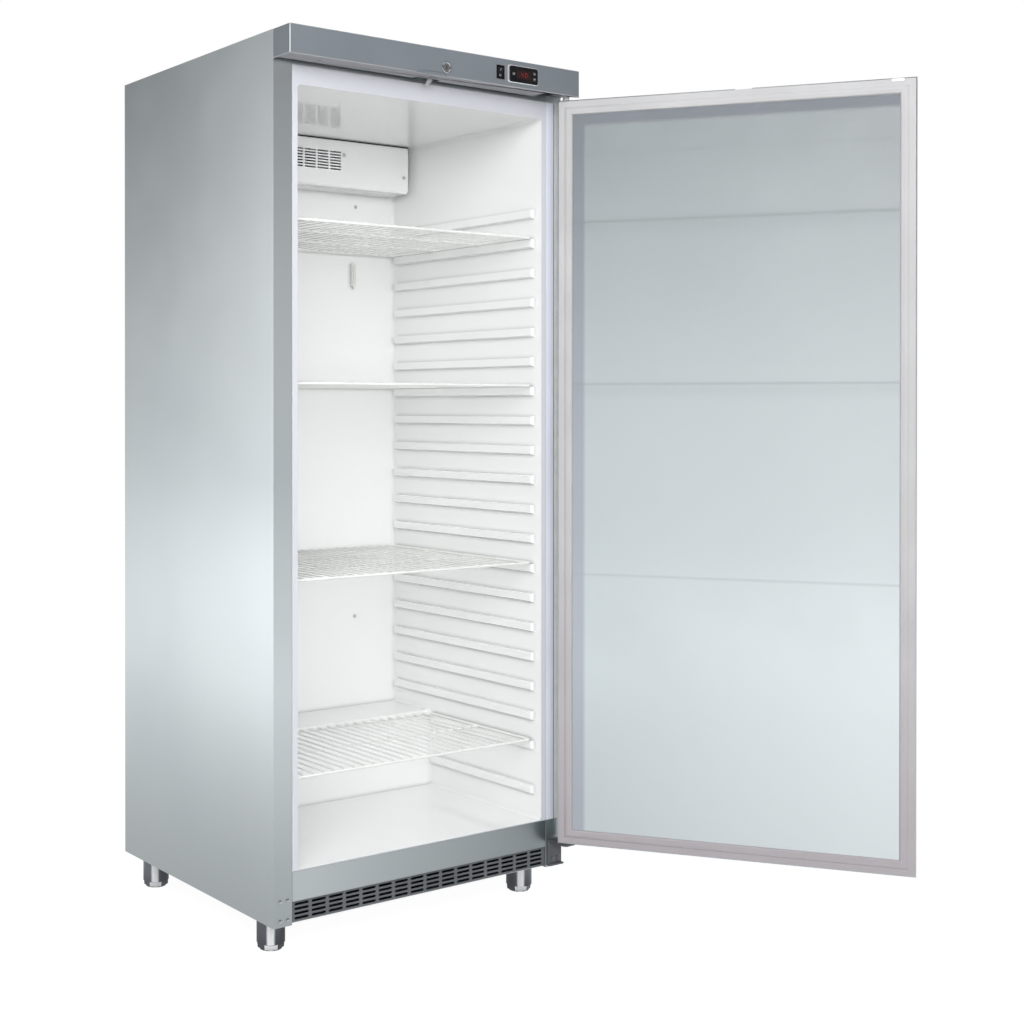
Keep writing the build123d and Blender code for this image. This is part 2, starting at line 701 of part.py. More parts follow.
with BuildPart() as lock_cam:
    with BuildSketch(Plane.XZ.offset(-CAM_Y[1])):
        with Locations((LOCK_X, LOCK_Z)):
            Circle(10)
        with BuildLine():
            Polyline(
                cam_point(0, -9.5),
                cam_point(CAM_REACH - 4, -4),
                cam_point(CAM_REACH - 4, 4),
                cam_point(0, 9.5),
                close=True,
            )
        make_face()
        with Locations(cam_point(CAM_REACH - 4, 0)):
            Circle(4)
        with Locations((LOCK_X, LOCK_Z)):
            Circle(4.0 + FIT, mode=Mode.SUBTRACT)
    extrude(amount=CAM_Y[1] - CAM_Y[0])
lock_cam.part.label = "lock_cam"
export_step(lock_cam.part, "parts/lock_cam.step")

# ---- Hinges -------------------------------------------------------------------------------------------------
ARM_TOP_Z = DOOR_Z[0] - 4.0
ARM_T = 5.0
HANGER_TOP_Z = RAISED_Z - FIT
HANGER_LOW_Z = HANGER_TOP_Z - 4.0
HANGER_X = (SIDE_X - 42.5, SIDE_X - 1.5)
PLATE_X = (RAIL_X + 3.5, SIDE_X)

with BuildPart() as upper_hinge_bracket:
    block(HANGER_X, (PIVOT_Y - 17, FRONT_Y), (HANGER_LOW_Z, HANGER_TOP_Z))
    block(HANGER_X, (FRONT_Y - 4, FRONT_Y), (HANGER_LOW_Z, HANGER_TOP_Z + 34))
    rod_z(
        PIVOT_X,
        PIVOT_Y,
        (HANGER_LOW_Z - 1, HANGER_TOP_Z + 1),
        PIN_R + FIT,
        Mode.SUBTRACT,
    )
upper_hinge_bracket.part.label = "upper_hinge_bracket"
export_step(upper_hinge_bracket.part, "parts/upper_hinge_bracket.step")

with BuildPart() as lower_hinge_bracket:
    block(PLATE_X, (FRONT_Y - 4, FRONT_Y), (BASE_Z + 4, ARM_TOP_Z))
    block(
        (PLATE_X[0] + 4, SIDE_X - 1.5),
        (PIVOT_Y - 17, FRONT_Y),
        (ARM_TOP_Z - ARM_T, ARM_TOP_Z),
    )
    block(PLATE_X, (FRONT_Y - 12, FRONT_Y), (BASE_Z + 4, BASE_Z + 8))
    with BuildSketch(Plane.XY.offset(ARM_TOP_Z)):
        with BuildLine():
            Polyline(
                (PLATE_X[0] - 7, PIVOT_Y - 30),
                (PLATE_X[0] + 4, PIVOT_Y + 2),
                (PLATE_X[0] + 15, PIVOT_Y - 17),
                (PLATE_X[0] + 17, PIVOT_Y - 30),
                close=True,
            )
        make_face()
    extrude(amount=-ARM_T - 1, mode=Mode.SUBTRACT)
    rod_z(
        PIVOT_X,
        PIVOT_Y,
        (ARM_TOP_Z - ARM_T - 1, ARM_TOP_Z + 1),
        PIN_R + FIT,
        Mode.SUBTRACT,
    )
    for x, z in BRACKET_BOLTS:
        rod_y(x, (FRONT_Y - 5, FRONT_Y + 1), z, SCREW_R + FIT, Mode.SUBTRACT)
lower_hinge_bracket.part.label = "lower_hinge_bracket"
export_step(lower_hinge_bracket.part, "parts/lower_hinge_bracket.step")

with BuildPart() as hinge_pins:
    rod_z(PIVOT_X, PIVOT_Y, (DOOR_Z[1] - 14, HANGER_TOP_Z + 4), PIN_R)
    rod_z(PIVOT_X, PIVOT_Y, (HANGER_TOP_Z, HANGER_TOP_Z + 4), 8.0)
    rod_z(PIVOT_X, PIVOT_Y, (DOOR_Z[1] + 2.5, HANGER_LOW_Z), 7.5)
    rod_z(PIVOT_X, PIVOT_Y, (ARM_TOP_Z - ARM_T, DOOR_Z[0] + 14), PIN_R)
    rod_z(PIVOT_X, PIVOT_Y, (ARM_TOP_Z - ARM_T - 4, ARM_TOP_Z - ARM_T), 8.0)
hinge_pins.part.label = "hinge_pins"
export_step(hinge_pins.part, "parts/hinge_pins.step")

# ---- Screws and bolts ------------------------------------------------------------------------------------------
with BuildPart() as screws:
    for x, z in POST_SCREWS:
        rod_y(x, (FRONT_Y - 1.8, FRONT_Y), z, 4.2)
        rod_y(x, (FRONT_Y - 1.8, FRONT_Y + 8), z, SCREW_R)
    for x, z in BRACKET_BOLTS:
        rod_y(x, (FRONT_Y - 7.5, FRONT_Y - 4), z, 5.5)
        rod_y(x, (FRONT_Y - 7.5, FRONT_Y + 8), z, SCREW_R)
    for x, z in WALL_SCREWS:
        rod_y(x, (CAVITY_BACK_Y - 1.8, CAVITY_BACK_Y), z, 4.2)
        rod_y(x, (CAVITY_BACK_Y - 1.8, CAVITY_BACK_Y + 10), z, SCREW_R)
    for x, below in COVER_SCREWS:
        z = CEILING_Z - below
        rod_y(x, (COVER_FRONT_Y - 1.8, COVER_FRONT_Y), z, 4.2)
        rod_y(x, (COVER_FRONT_Y - 1.8, COVER_FRONT_Y + 8), z, SCREW_R)
    rod_z(LIP_SCREW_X, PIVOT_Y, (HEADER_LOW_Z - 2, HEADER_LOW_Z), 4.2)
    rod_z(LIP_SCREW_X, PIVOT_Y, (HEADER_LOW_Z - 2, HEADER_LOW_Z + 8), SCREW_R)
screws.part.label = "screws"
export_step(screws.part, "parts/screws.step")

# ---- Door. Its pieces are drawn shut, on a plane turned about the hinge pins. ------------------------------------
OPEN_COS, OPEN_SIN = cos(radians(DOOR_OPEN)), sin(radians(DOOR_OPEN))
DOOR = Plane(
    origin=(
        PIVOT_X - PIVOT_X * OPEN_COS + PIVOT_Y * OPEN_SIN,
        PIVOT_Y - PIVOT_X * OPEN_SIN - PIVOT_Y * OPEN_COS,
        0,
    ),
    x_dir=(OPEN_COS, OPEN_SIN, 0),
    z_dir=(0, 0, 1),
)
BUSH_PLACES = [(x, z) for x in (PIVOT_X, -PIVOT_X) for z in DOOR_Z]
BUSH_STEM = 16.0
STRIKE_WALL = 2.0
LIP_Y = DOOR_INNER_Y - SHEET
PANEL_Y = LIP_Y - SHEET
CUP_X = (HANDLE_X - HANDLE_W / 2, HANDLE_X + HANDLE_W / 2)
CUP_Z = (HANDLE_Z - HANDLE_H / 2, HANDLE_Z + HANDLE_H / 2)


def bush_holes(r):
    """Holes for the hinge bushes and for the spare ones at the free side."""
    for x, z in BUSH_PLACES:
        rod_z(x, PIVOT_Y, (z - BUSH_STEM, z + BUSH_STEM), r, Mode.SUBTRACT)


def strike_holes():
    """Room for the lock cam, with its way in from the inner face."""
    high = DOOR_Z[1] + 1
    block(STRIKE_X, STRIKE_Y, (STRIKE_LOW_Z, high), Mode.SUBTRACT)
    block(
        (STRIKE_X[0], STRIKE_MOUTH_X),
        (STRIKE_Y[1] - 1, DOOR_INNER_Y + 1),
        (STRIKE_LOW_Z, high),
        Mode.SUBTRACT,
    )


with BuildPart(DOOR) as door_outer_skin:
    block((-DOOR_X, DOOR_X), (DOOR_FRONT_Y, DOOR_INNER_Y), DOOR_Z)
    block(
        (-DOOR_X + SHEET, DOOR_X - SHEET),
        (DOOR_FRONT_Y + SHEET, LIP_Y),
        (DOOR_Z[0] + SHEET, DOOR_Z[1] - SHEET),
        Mode.SUBTRACT,
    )
    block(
        (-DOOR_X + DOOR_LIP, DOOR_X - DOOR_LIP),
        (LIP_Y - 1, DOOR_INNER_Y + 1),
        (DOOR_Z[0] + DOOR_LIP, DOOR_Z[1] - DOOR_LIP),
        Mode.SUBTRACT,
    )
    block(CUP_X, (DOOR_FRONT_Y - 1, DOOR_FRONT_Y + 2), CUP_Z, Mode.SUBTRACT)
    bush_holes(BUSH_R + FIT)
    strike_holes()
door_outer_skin.part.label = "door_outer_skin"
export_step(door_outer_skin.part, "parts/door_outer_skin.step")

with BuildPart(DOOR) as door_foam:
    block(
        (-DOOR_X + SHEET, DOOR_X - SHEET),
        (DOOR_FRONT_Y + SHEET, PANEL_Y),
        (DOOR_Z[0] + SHEET, DOOR_Z[1] - SHEET),
    )
    bush_holes(BUSH_R + FIT)
    block(
        CUP_X,
        (DOOR_FRONT_Y, DOOR_FRONT_Y + HANDLE_DEEP),
        CUP_Z,
        Mode.SUBTRACT,
    )
    block(
        (STRIKE_X[0] - STRIKE_WALL, STRIKE_X[1] + STRIKE_WALL),
        (STRIKE_Y[0] - STRIKE_WALL, DOOR_INNER_Y),
        (STRIKE_LOW_Z - STRIKE_WALL, DOOR_Z[1]),
        Mode.SUBTRACT,
    )
door_foam.part.label = "door_foam"
export_step(door_foam.part, "parts/door_foam.step")

with BuildPart(DOOR) as door_inner_panel:
    block(
        (-DOOR_X + SHEET, DOOR_X - SHEET),
        (PANEL_Y, LIP_Y),
        (DOOR_Z[0] + SHEET, DOOR_Z[1] - SHEET),
    )
    strike_holes()
door_inner_panel.part.label = "door_inner_panel"
export_step(door_inner_panel.part, "parts/door_inner_panel.step")

with BuildPart(DOOR) as door_strike:
    block(
        (STRIKE_X[0] - STRIKE_WALL, STRIKE_X[1] + STRIKE_WALL),
        (STRIKE_Y[0] - STRIKE_WALL, PANEL_Y),
        (STRIKE_LOW_Z - STRIKE_WALL, DOOR_Z[1] - SHEET),
    )
    strike_holes()
door_strike.part.label = "door_strike"
export_step(door_strike.part, "parts/door_strike.step")

with BuildPart(DOOR) as door_handle:
    block(
        (CUP_X[0] - 8, CUP_X[1] + 8),
        (DOOR_FRONT_Y - 2, DOOR_FRONT_Y),
        (CUP_Z[0] - 8, CUP_Z[1] + 8),
    )
    block(
        (CUP_X[0] + FIT, CUP_X[1] - FIT),
        (DOOR_FRONT_Y, DOOR_FRONT_Y + HANDLE_DEEP),
        (CUP_Z[0] + FIT, CUP_Z[1] - FIT),
    )
    block(
        (CUP_X[0] + 2, CUP_X[1] - 2),
        (DOOR_FRONT_Y - 3, DOOR_FRONT_Y + HANDLE_DEEP - 2),
        (CUP_Z[0] + 2, CUP_Z[1] - 2),
        Mode.SUBTRACT,
    )
door_handle.part.label = "door_handle"
export_step(door_handle.part, "parts/door_handle.step")

GASKET_X = DOOR_X - DOOR_LIP
GASKET_Z = (DOOR_Z[0] + DOOR_LIP, DOOR_Z[1] - DOOR_LIP)
with BuildPart(DOOR) as door_gasket:
    for inset, y_low, y_high in (
        (0.0, LIP_Y, LIP_Y + 5),
        (2.0, LIP_Y + 5, FRONT_Y - GAP),
    ):
        block(
            (-GASKET_X + inset, GASKET_X - inset),
            (y_low, y_high),
            (GASKET_Z[0] + inset, GASKET_Z[1] - inset),
        )
    for inset, y_low, y_high in (
        (GASKET_W, LIP_Y - 1, LIP_Y + 5),
        (GASKET_W - 2.0, LIP_Y + 5, FRONT_Y + 1),
    ):
        block(
            (-GASKET_X + inset, GASKET_X - inset),
            (y_low, y_high),
            (GASKET_Z[0] + inset, GASKET_Z[1] - inset),
            Mode.SUBTRACT,
        )
door_gasket.part.label = "door_gasket"
export_step(door_gasket.part, "parts/door_gasket.step")

with BuildPart(DOOR) as door_bushes:
    for x in (PIVOT_X, -PIVOT_X):
        rod_z(x, PIVOT_Y, (DOOR_Z[1] - BUSH_STEM, DOOR_Z[1]), BUSH_R)
        rod_z(x, PIVOT_Y, (DOOR_Z[1], DOOR_Z[1] + 2), 11.5)
        rod_z(x, PIVOT_Y, (DOOR_Z[0], DOOR_Z[0] + BUSH_STEM), BUSH_R)
        rod_z(x, PIVOT_Y, (ARM_TOP_Z + GAP, DOOR_Z[0]), 11.5)
        for z in ((DOOR_Z[1] - 15, DOOR_Z[1] + 3), (DOOR_Z[0] - 5, DOOR_Z[0] + 15)):
            rod_z(x, PIVOT_Y, z, PIN_R + FIT, Mode.SUBTRACT)
door_bushes.part.label = "door_bushes"
export_step(door_bushes.part, "parts/door_bushes.step")

# ---- Wire shelves ---------------------------------------------------------------------------------------------------
for number, rib in enumerate(SHELF_RIBS, 1):
    back = LOW_SHELF_BACK_Y if rib == 0 else SHELF_BACK_Y
    wire_z = RIB_FIRST_Z + RIB_PITCH * rib + GAP + FRAME_WIRE_R
    side_x = SHELF_W / 2 - FRAME_WIRE_R
    front_y, back_y = SHELF_FRONT_Y + FRAME_WIRE_R, back - FRAME_WIRE_R
    bars = 2 if rib == 0 else 3
    span = (back_y - front_y) / bars
    with BuildPart() as shelf:
        with BuildLine(Plane.XY.offset(wire_z)) as frame:
            Polyline(
                (-side_x, front_y),
                (side_x, front_y),
                (side_x, back_y),
                (-side_x, back_y),
                close=True,
            )
            fillet(frame.vertices(), FRAME_CORNER_R)
        with BuildSketch(Plane.YZ):
            with Locations((front_y, wire_z)):
                Circle(FRAME_WIRE_R)
        sweep(path=frame.wire())
        for i in range(1, bars):
            rod_x((-side_x, side_x), front_y + span * i, wire_z, CROSS_WIRE_R)
        with Locations((0, (front_y + back_y) / 2, wire_z + FRAME_WIRE_R)):
            with GridLocations(2 * side_x / (GRID_WIRES + 1), 1, GRID_WIRES, 1):
                Cylinder(GRID_WIRE_R, back_y - front_y, rotation=(90, 0, 0))
    shelf.part.label = f"shelf_{number}"
    export_step(shelf.part, f"parts/shelf_{number}.step")

# ---- Evaporator, its fan and its cover ----------------------------------------------------------------------------------
with BuildPart() as evaporator_cover:
    block(
        (-COVER_X, COVER_X),
        (COVER_FRONT_Y, CAVITY_BACK_Y),
        (COVER_LOW_Z, CEILING_Z),
    )
    block(
        (-COVER_X + COVER_T, COVER_X - COVER_T),
        (COVER_FRONT_Y + COVER_T, CAVITY_BACK_Y + 1),
        (COVER_LOW_Z + COVER_T, CEILING_Z + 1),
        Mode.SUBTRACT,
    )
    block(
        (-COVER_X - 1, COVER_X + 1),
        (CAVITY_BACK_Y - CORNER_R - 1, CAVITY_BACK_Y + 1),
        (CEILING_Z - CORNER_R - 1, CEILING_Z + 1),
        Mode.SUBTRACT,
    )
    with BuildSketch(Plane.XZ.offset(-COVER_FRONT_Y + 1)):
        with Locations((0, FAN_Z)):
            with GridLocations(37, 7, 6, 7):
                Rectangle(32, 3.4)
    extrude(amount=-COVER_T - 2, mode=Mode.SUBTRACT)
    with BuildSketch(Plane.XY.offset(COVER_LOW_Z - 1)):
        with Locations((0, COVER_FRONT_Y + 22)):
            with GridLocations(40, 9, 14, 3):
                Rectangle(30, 4)
    extrude(amount=COVER_T + 2, mode=Mode.SUBTRACT)
    for x, below in COVER_SCREWS:
        rod_y(
            x,
            (COVER_FRONT_Y - 1, COVER_FRONT_Y + 4),
            CEILING_Z - below,
            SCREW_R + FIT,
            Mode.SUBTRACT,
        )
evaporator_cover.part.label = "evaporator_cover"
export_step(evaporator_cover.part, "parts/evaporator_cover.step")

COIL_X = COVER_X - 52.0
COIL_Y = (CAVITY_BACK_Y - 40.0, CAVITY_BACK_Y)
COIL_Z = (COVER_LOW_Z + 18, CEILING_Z - 20)
COIL_FINS = 21
with BuildPart() as evaporator_coil:
    coil_mid = ((COIL_Y[0] + COIL_Y[1]) / 2, (COIL_Z[0] + COIL_Z[1]) / 2)
    with Locations((0, coil_mid[0], coil_mid[1])):
        with GridLocations(2 * (COIL_X - 12) / (COIL_FINS - 1), 1, COIL_FINS, 1):
            Box(1, COIL_Y[1] - COIL_Y[0], COIL_Z[1] - COIL_Z[0])
    for y in (COIL_Y[0] + 10, COIL_Y[1] - 10):
        for z in (COIL_Z[0] + 20, COIL_Z[1] - 20):
            rod_x((-COIL_X, COIL_X), y, z, 4.5)
    for x in (-COIL_X, COIL_X):
        for y in (COIL_Y[0] + 10, COIL_Y[1] - 10):
            rod_z(x, y, (COIL_Z[0] + 20, COIL_Z[1] - 20), 4.5)
            for z in (COIL_Z[0] + 20, COIL_Z[1] - 20):
                ball(x, y, z, 4.5)
evaporator_coil.part.label = "evaporator_coil"
export_step(evaporator_coil.part, "parts/evaporator_coil.step")

COLD_FAN_Y = (COVER_FRONT_Y + 8, COVER_FRONT_Y + 20)
with BuildPart() as evaporator_fan_motor:
    rod_y(0, (COLD_FAN_Y[1] + 3, COIL_Y[0]), FAN_Z, 17)
    rod_y(0, (COLD_FAN_Y[0], COLD_FAN_Y[1] + 4), FAN_Z, 2.5)
    block((-30, 30), (COIL_Y[0] - 2, COIL_Y[0]), (FAN_Z - 12, FAN_Z + 12))
evaporator_fan_motor.part.label = "evaporator_fan_motor"
export_step(evaporator_fan_motor.part, "parts/evaporator_fan_motor.step")


def fan_blades(x, z, y, r, hub_r, shaft_r, count):
    """A hub and pitched blades that turn about a line along Y."""
    middle = (y[0] + y[1]) / 2
    rod_y(x, y, z, hub_r)
    chord = (y[1] - y[0]) * 1.15
    with Locations(Location((x, middle, z), (90, 0, 0))):
        with PolarLocations(0, count):
            with Locations((hub_r * 0.85 + (r - hub_r * 0.85) / 2, 0, 0)):
                Box(r - hub_r * 0.85, chord, 1.6, rotation=(32, 0, 0))
    rod_y(x, (y[0] - 1, y[1] + 1), z, shaft_r + FIT, Mode.SUBTRACT)


with BuildPart() as evaporator_fan_blades:
    fan_blades(0, FAN_Z, COLD_FAN_Y, COLD_FAN_R, 14, 2.5, 5)
evaporator_fan_blades.part.label = "evaporator_fan_blades"
export_step(evaporator_fan_blades.part, "parts/evaporator_fan_blades.step")

with BuildPart() as drain_trough:
    trough_z = COVER_LOW_Z + COVER_T
    trough_x = COIL_X + 28
    trough_y = (COIL_Y[0] - 3, CAVITY_BACK_Y)
    block((-trough_x, trough_x), trough_y, (trough_z, trough_z + 9))
    block(
        (-trough_x + 2, trough_x - 2),
        (trough_y[0] + 2, trough_y[1] - 2),
        (trough_z + 2, trough_z + 10),
        Mode.SUBTRACT,
    )
drain_trough.part.label = "drain_trough"
export_step(drain_trough.part, "parts/drain_trough.step")

PROBE_X = 199.0
PROBE_Z = RIB_FIRST_Z + RIB_PITCH * SHELF_RIBS[0] - 50.0
with BuildPart() as temperature_probe:
    block(
        (PROBE_X - 6, PROBE_X + 6),
        (CAVITY_BACK_Y - 9, CAVITY_BACK_Y),
        (PROBE_Z - 28, PROBE_Z + 28),
    )
    rod_z(PROBE_X, CAVITY_BACK_Y - 9, (PROBE_Z - 36, PROBE_Z + 24), 3)
temperature_probe.part.label = "temperature_probe"
export_step(temperature_probe.part, "parts/temperature_probe.step")

# ---- Machine compartment -----------------------------------------------------------------------------------------------------
MOUNT_PLACES = [
    (COMPRESSOR_X + sx * 82, COMPRESSOR_Y + sy * 48) for sx in (-1, 1) for sy in (-1, 1)
]
DOME_Z = MOUNT_TOP_Z + COMPRESSOR_H
with BuildPart() as compressor:
    block(
        (COMPRESSOR_X - 98, COMPRESSOR_X + 98),
        (COMPRESSOR_Y - 62, COMPRESSOR_Y + 62),
        (MOUNT_TOP_Z, MOUNT_TOP_Z + 3),
    )
    rod_z(COMPRESSOR_X, COMPRESSOR_Y, (MOUNT_TOP_Z + 3, DOME_Z), COMPRESSOR_R)
    fillet(compressor.edges().sort_by(Axis.Z)[-1], 40)
    rod_z(COMPRESSOR_X, COMPRESSOR_Y, (DOME_Z - 82, DOME_Z - 78), COMPRESSOR_R + 4)
    block(
        (COMPRESSOR_X - 30, COMPRESSOR_X + 30),
        (COMPRESSOR_Y - COMPRESSOR_R - 18, COMPRESSOR_Y - COMPRESSOR_R + 20),
        (DOME_Z - 140, DOME_Z - 85),
    )
    for x, y in MOUNT_PLACES:
        rod_z(x, y, (MOUNT_TOP_Z - 8, MOUNT_TOP_Z + 7), 4 + FIT, Mode.SUBTRACT)
compressor.part.label = "compressor"
export_step(compressor.part, "parts/compressor.step")

with BuildPart() as compressor_mounts:
    for x, y in MOUNT_PLACES:
        rod_z(x, y, (PAN_TOP_Z, MOUNT_TOP_Z), 11)
        rod_z(x, y, (MOUNT_TOP_Z, MOUNT_TOP_Z + 8), 4)
compressor_mounts.part.label = "compressor_mounts"
export_step(compressor_mounts.part, "parts/compressor_mounts.step")

HOT_FAN_X = (CONDENSER_X[0] + CONDENSER_X[1]) / 2
HOT_FAN_Z = (CONDENSER_Z[0] + CONDENSER_Z[1]) / 2
HOT_FAN_Y = (CONDENSER_Y[1] + 8, CONDENSER_Y[1] + 30)
with BuildPart() as condenser_coil:
    with Locations((HOT_FAN_X, sum(CONDENSER_Y) / 2, HOT_FAN_Z)):
        with GridLocations(9.8, 1, 23, 1):
            Box(1, CONDENSER_Y[1] - CONDENSER_Y[0], CONDENSER_Z[1] - CONDENSER_Z[0])
    for y in (CONDENSER_Y[0] + 12, CONDENSER_Y[1] - 12):
        for i in range(5):
            rod_x(CONDENSER_X, y, CONDENSER_Z[0] + 20 + 45 * i, 4)
    for x in CONDENSER_X:
        inner, outer = sorted((x, x + (2 if x == CONDENSER_X[0] else -2)))
        block((inner, outer), CONDENSER_Y, (PAN_TOP_Z, CONDENSER_Z[1]))
condenser_coil.part.label = "condenser_coil"
export_step(condenser_coil.part, "parts/condenser_coil.step")

MOTOR_Y = (HOT_FAN_Y[1] + 6, HOT_FAN_Y[1] + 46)
with BuildPart() as condenser_fan_shroud:
    block(CONDENSER_X, (CONDENSER_Y[1], CONDENSER_Y[1] + 1.5), CONDENSER_Z)
    rod_y(
        HOT_FAN_X,
        (CONDENSER_Y[1] - 1, CONDENSER_Y[1] + 3),
        HOT_FAN_Z,
        HOT_FAN_R + 6,
        Mode.SUBTRACT,
    )
    for x in (HOT_FAN_X - 106, HOT_FAN_X + 106):
        block((x - 4, x + 4), (CONDENSER_Y[1], MOTOR_Y[1] + 3), (HOT_FAN_Z - 10, HOT_FAN_Z + 10))
    block(
        (HOT_FAN_X - 110, HOT_FAN_X + 110),
        (MOTOR_Y[1], MOTOR_Y[1] + 3),
        (HOT_FAN_Z - 10, HOT_FAN_Z + 10),
    )
condenser_fan_shroud.part.label = "condenser_fan_shroud"
export_step(condenser_fan_shroud.part, "parts/condenser_fan_shroud.step")

with BuildPart() as condenser_fan_motor:
    rod_y(HOT_FAN_X, MOTOR_Y, HOT_FAN_Z, 34)
    rod_y(HOT_FAN_X, (HOT_FAN_Y[0], MOTOR_Y[0]), HOT_FAN_Z, 4)
condenser_fan_motor.part.label = "condenser_fan_motor"
export_step(condenser_fan_motor.part, "parts/condenser_fan_motor.step")

with BuildPart() as condenser_fan_blades:
    fan_blades(HOT_FAN_X, HOT_FAN_Z, HOT_FAN_Y, HOT_FAN_R, 22, 4, 5)
condenser_fan_blades.part.label = "condenser_fan_blades"
export_step(condenser_fan_blades.part, "parts/condenser_fan_blades.step")

TRAY_X = (CONDENSER_X[1] + 25.0, COMPRESSOR_X - 120.0)
TRAY_Y = (SHIELD_Y + 33.0, BACK_Y - 23.0)
with BuildPart() as condensate_pan:
    block(TRAY_X, TRAY_Y, (PAN_TOP_Z, PAN_TOP_Z + 30))
    block(
        (TRAY_X[0] + 2, TRAY_X[1] - 2),
        (TRAY_Y[0] + 2, TRAY_Y[1] - 2),
        (PAN_TOP_Z + 2, PAN_TOP_Z + 31),
        Mode.SUBTRACT,
    )
condensate_pan.part.label = "condensate_pan"
export_step(condensate_pan.part, "parts/condensate_pan.step")

LINE_R = 3.5
LINE_Y = CONDENSER_Y[0] + 22.0
DRIER_X = 40.0
TOP_LINE_Z = DOME_Z + 35.0
with BuildPart() as refrigerant_line:
    rod_z(COMPRESSOR_X, COMPRESSOR_Y, (DOME_Z, TOP_LINE_Z), LINE_R)
    ball(COMPRESSOR_X, COMPRESSOR_Y, TOP_LINE_Z, LINE_R)
    rod_y(COMPRESSOR_X, (LINE_Y, COMPRESSOR_Y), TOP_LINE_Z, LINE_R)
    ball(COMPRESSOR_X, LINE_Y, TOP_LINE_Z, LINE_R)
    rod_x((CONDENSER_X[1], COMPRESSOR_X), LINE_Y, TOP_LINE_Z, LINE_R)
    rod_z(DRIER_X, LINE_Y, (TOP_LINE_Z - 120, TOP_LINE_Z), LINE_R)
    rod_z(DRIER_X, LINE_Y, (TOP_LINE_Z - 100, TOP_LINE_Z - 20), 12)
refrigerant_line.part.label = "refrigerant_line"
export_step(refrigerant_line.part, "parts/refrigerant_line.step")

INLET_X, INLET_Z = SIDE_X - 88.5, BASE_Z + 40.0
with BuildPart() as rear_machine_cover:
    cover_z = (PAN_TOP_Z, SHIELD_TOP_Z - SHEET)
    block((-SKIN_X, SKIN_X), (BACK_Y - 2 * SHEET, BACK_Y - SHEET), cover_z)
    with BuildSketch(Plane.XZ.offset(-BACK_Y)):
        with Locations((HOT_FAN_X, HOT_FAN_Z + 5)):
            with GridLocations(40, 12, 6, 15):
                Rectangle(32, 5)
        with Locations((COMPRESSOR_X - 25, DOME_Z - 40)):
            with GridLocations(40, 12, 5, 8):
                Rectangle(32, 5)
        with Locations((INLET_X, INLET_Z)):
            Circle(8 + FIT)
    extrude(amount=5, both=True, mode=Mode.SUBTRACT)
rear_machine_cover.part.label = "rear_machine_cover"
export_step(rear_machine_cover.part, "parts/rear_machine_cover.step")

with BuildPart() as power_inlet:
    rod_y(INLET_X, (BACK_Y - 14, BACK_Y - SHEET), INLET_Z, 8)
    with BuildSketch(Plane.XZ.offset(-(BACK_Y - SHEET))):
        with Locations((INLET_X, INLET_Z)):
            RegularPolygon(12, 6)
    extrude(amount=-6)
    rod_y(INLET_X, (BACK_Y - 15, BACK_Y + 6), INLET_Z, 4.5, Mode.SUBTRACT)
power_inlet.part.label = "power_inlet"
export_step(power_inlet.part, "parts/power_inlet.step")

# ---- Legs and levelling feet ------------------------------------------------------------------------------------------------------
FEET = [
    ("foot_front_left", -FOOT_X, FOOT_FRONT_Y),
    ("foot_front_right", FOOT_X, FOOT_FRONT_Y),
    ("foot_rear_left", -FOOT_X, FOOT_REAR_Y),
    ("foot_rear_right", FOOT_X, FOOT_REAR_Y),
]
with BuildPart() as leg_tubes:
    for foot, x, y in FEET:
        rod_z(x, y, (LEG_LOW_Z, BASE_Z), LEG_R)
    for foot, x, y in FEET:
        rod_z(x, y, (LEG_LOW_Z - 1, BASE_Z - 4), LEG_R - 2, Mode.SUBTRACT)
    for foot, x, y in FEET:
        rod_z(x, y, (40, BASE_Z), 15)
    for foot, x, y in FEET:
        rod_z(x, y, (30, BASE_Z - 3), STEM_R + FIT, Mode.SUBTRACT)
leg_tubes.part.label = "leg_tubes"
export_step(leg_tubes.part, "parts/leg_tubes.step")

for name, x, y in FEET:
    with BuildPart() as levelling_foot:
        rod_z(x, y, (LEG_LOW_Z - 2, BASE_Z - 6), STEM_R)
        with BuildSketch(Plane.XY.offset(LEG_LOW_Z - GAP)):
            with Locations((x, y)):
                RegularPolygon(29, 6)
        extrude(amount=-(LEG_LOW_Z - GAP - 2), taper=18)
        rod_z(x, y, (0, 3), 21)
    levelling_foot.part.label = name
    export_step(levelling_foot.part, f"parts/{name}.step")
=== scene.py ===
# %% [markdown]
# # A reach in refrigerator, dressed in Blender
#
# The engineering model gives every piece its true shape, size and place. This lesson
# gives those pieces their looks: satin stainless steel, grey enamel, glossy white moulding,
# rubber and plated wire. It also models the pieces whose small shapes the plain model
# leaves out, such as the folded door seal and the softly rounded header.

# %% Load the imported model
import json
from math import pi, radians

import bmesh
import bpy
from mathutils import Matrix, Vector

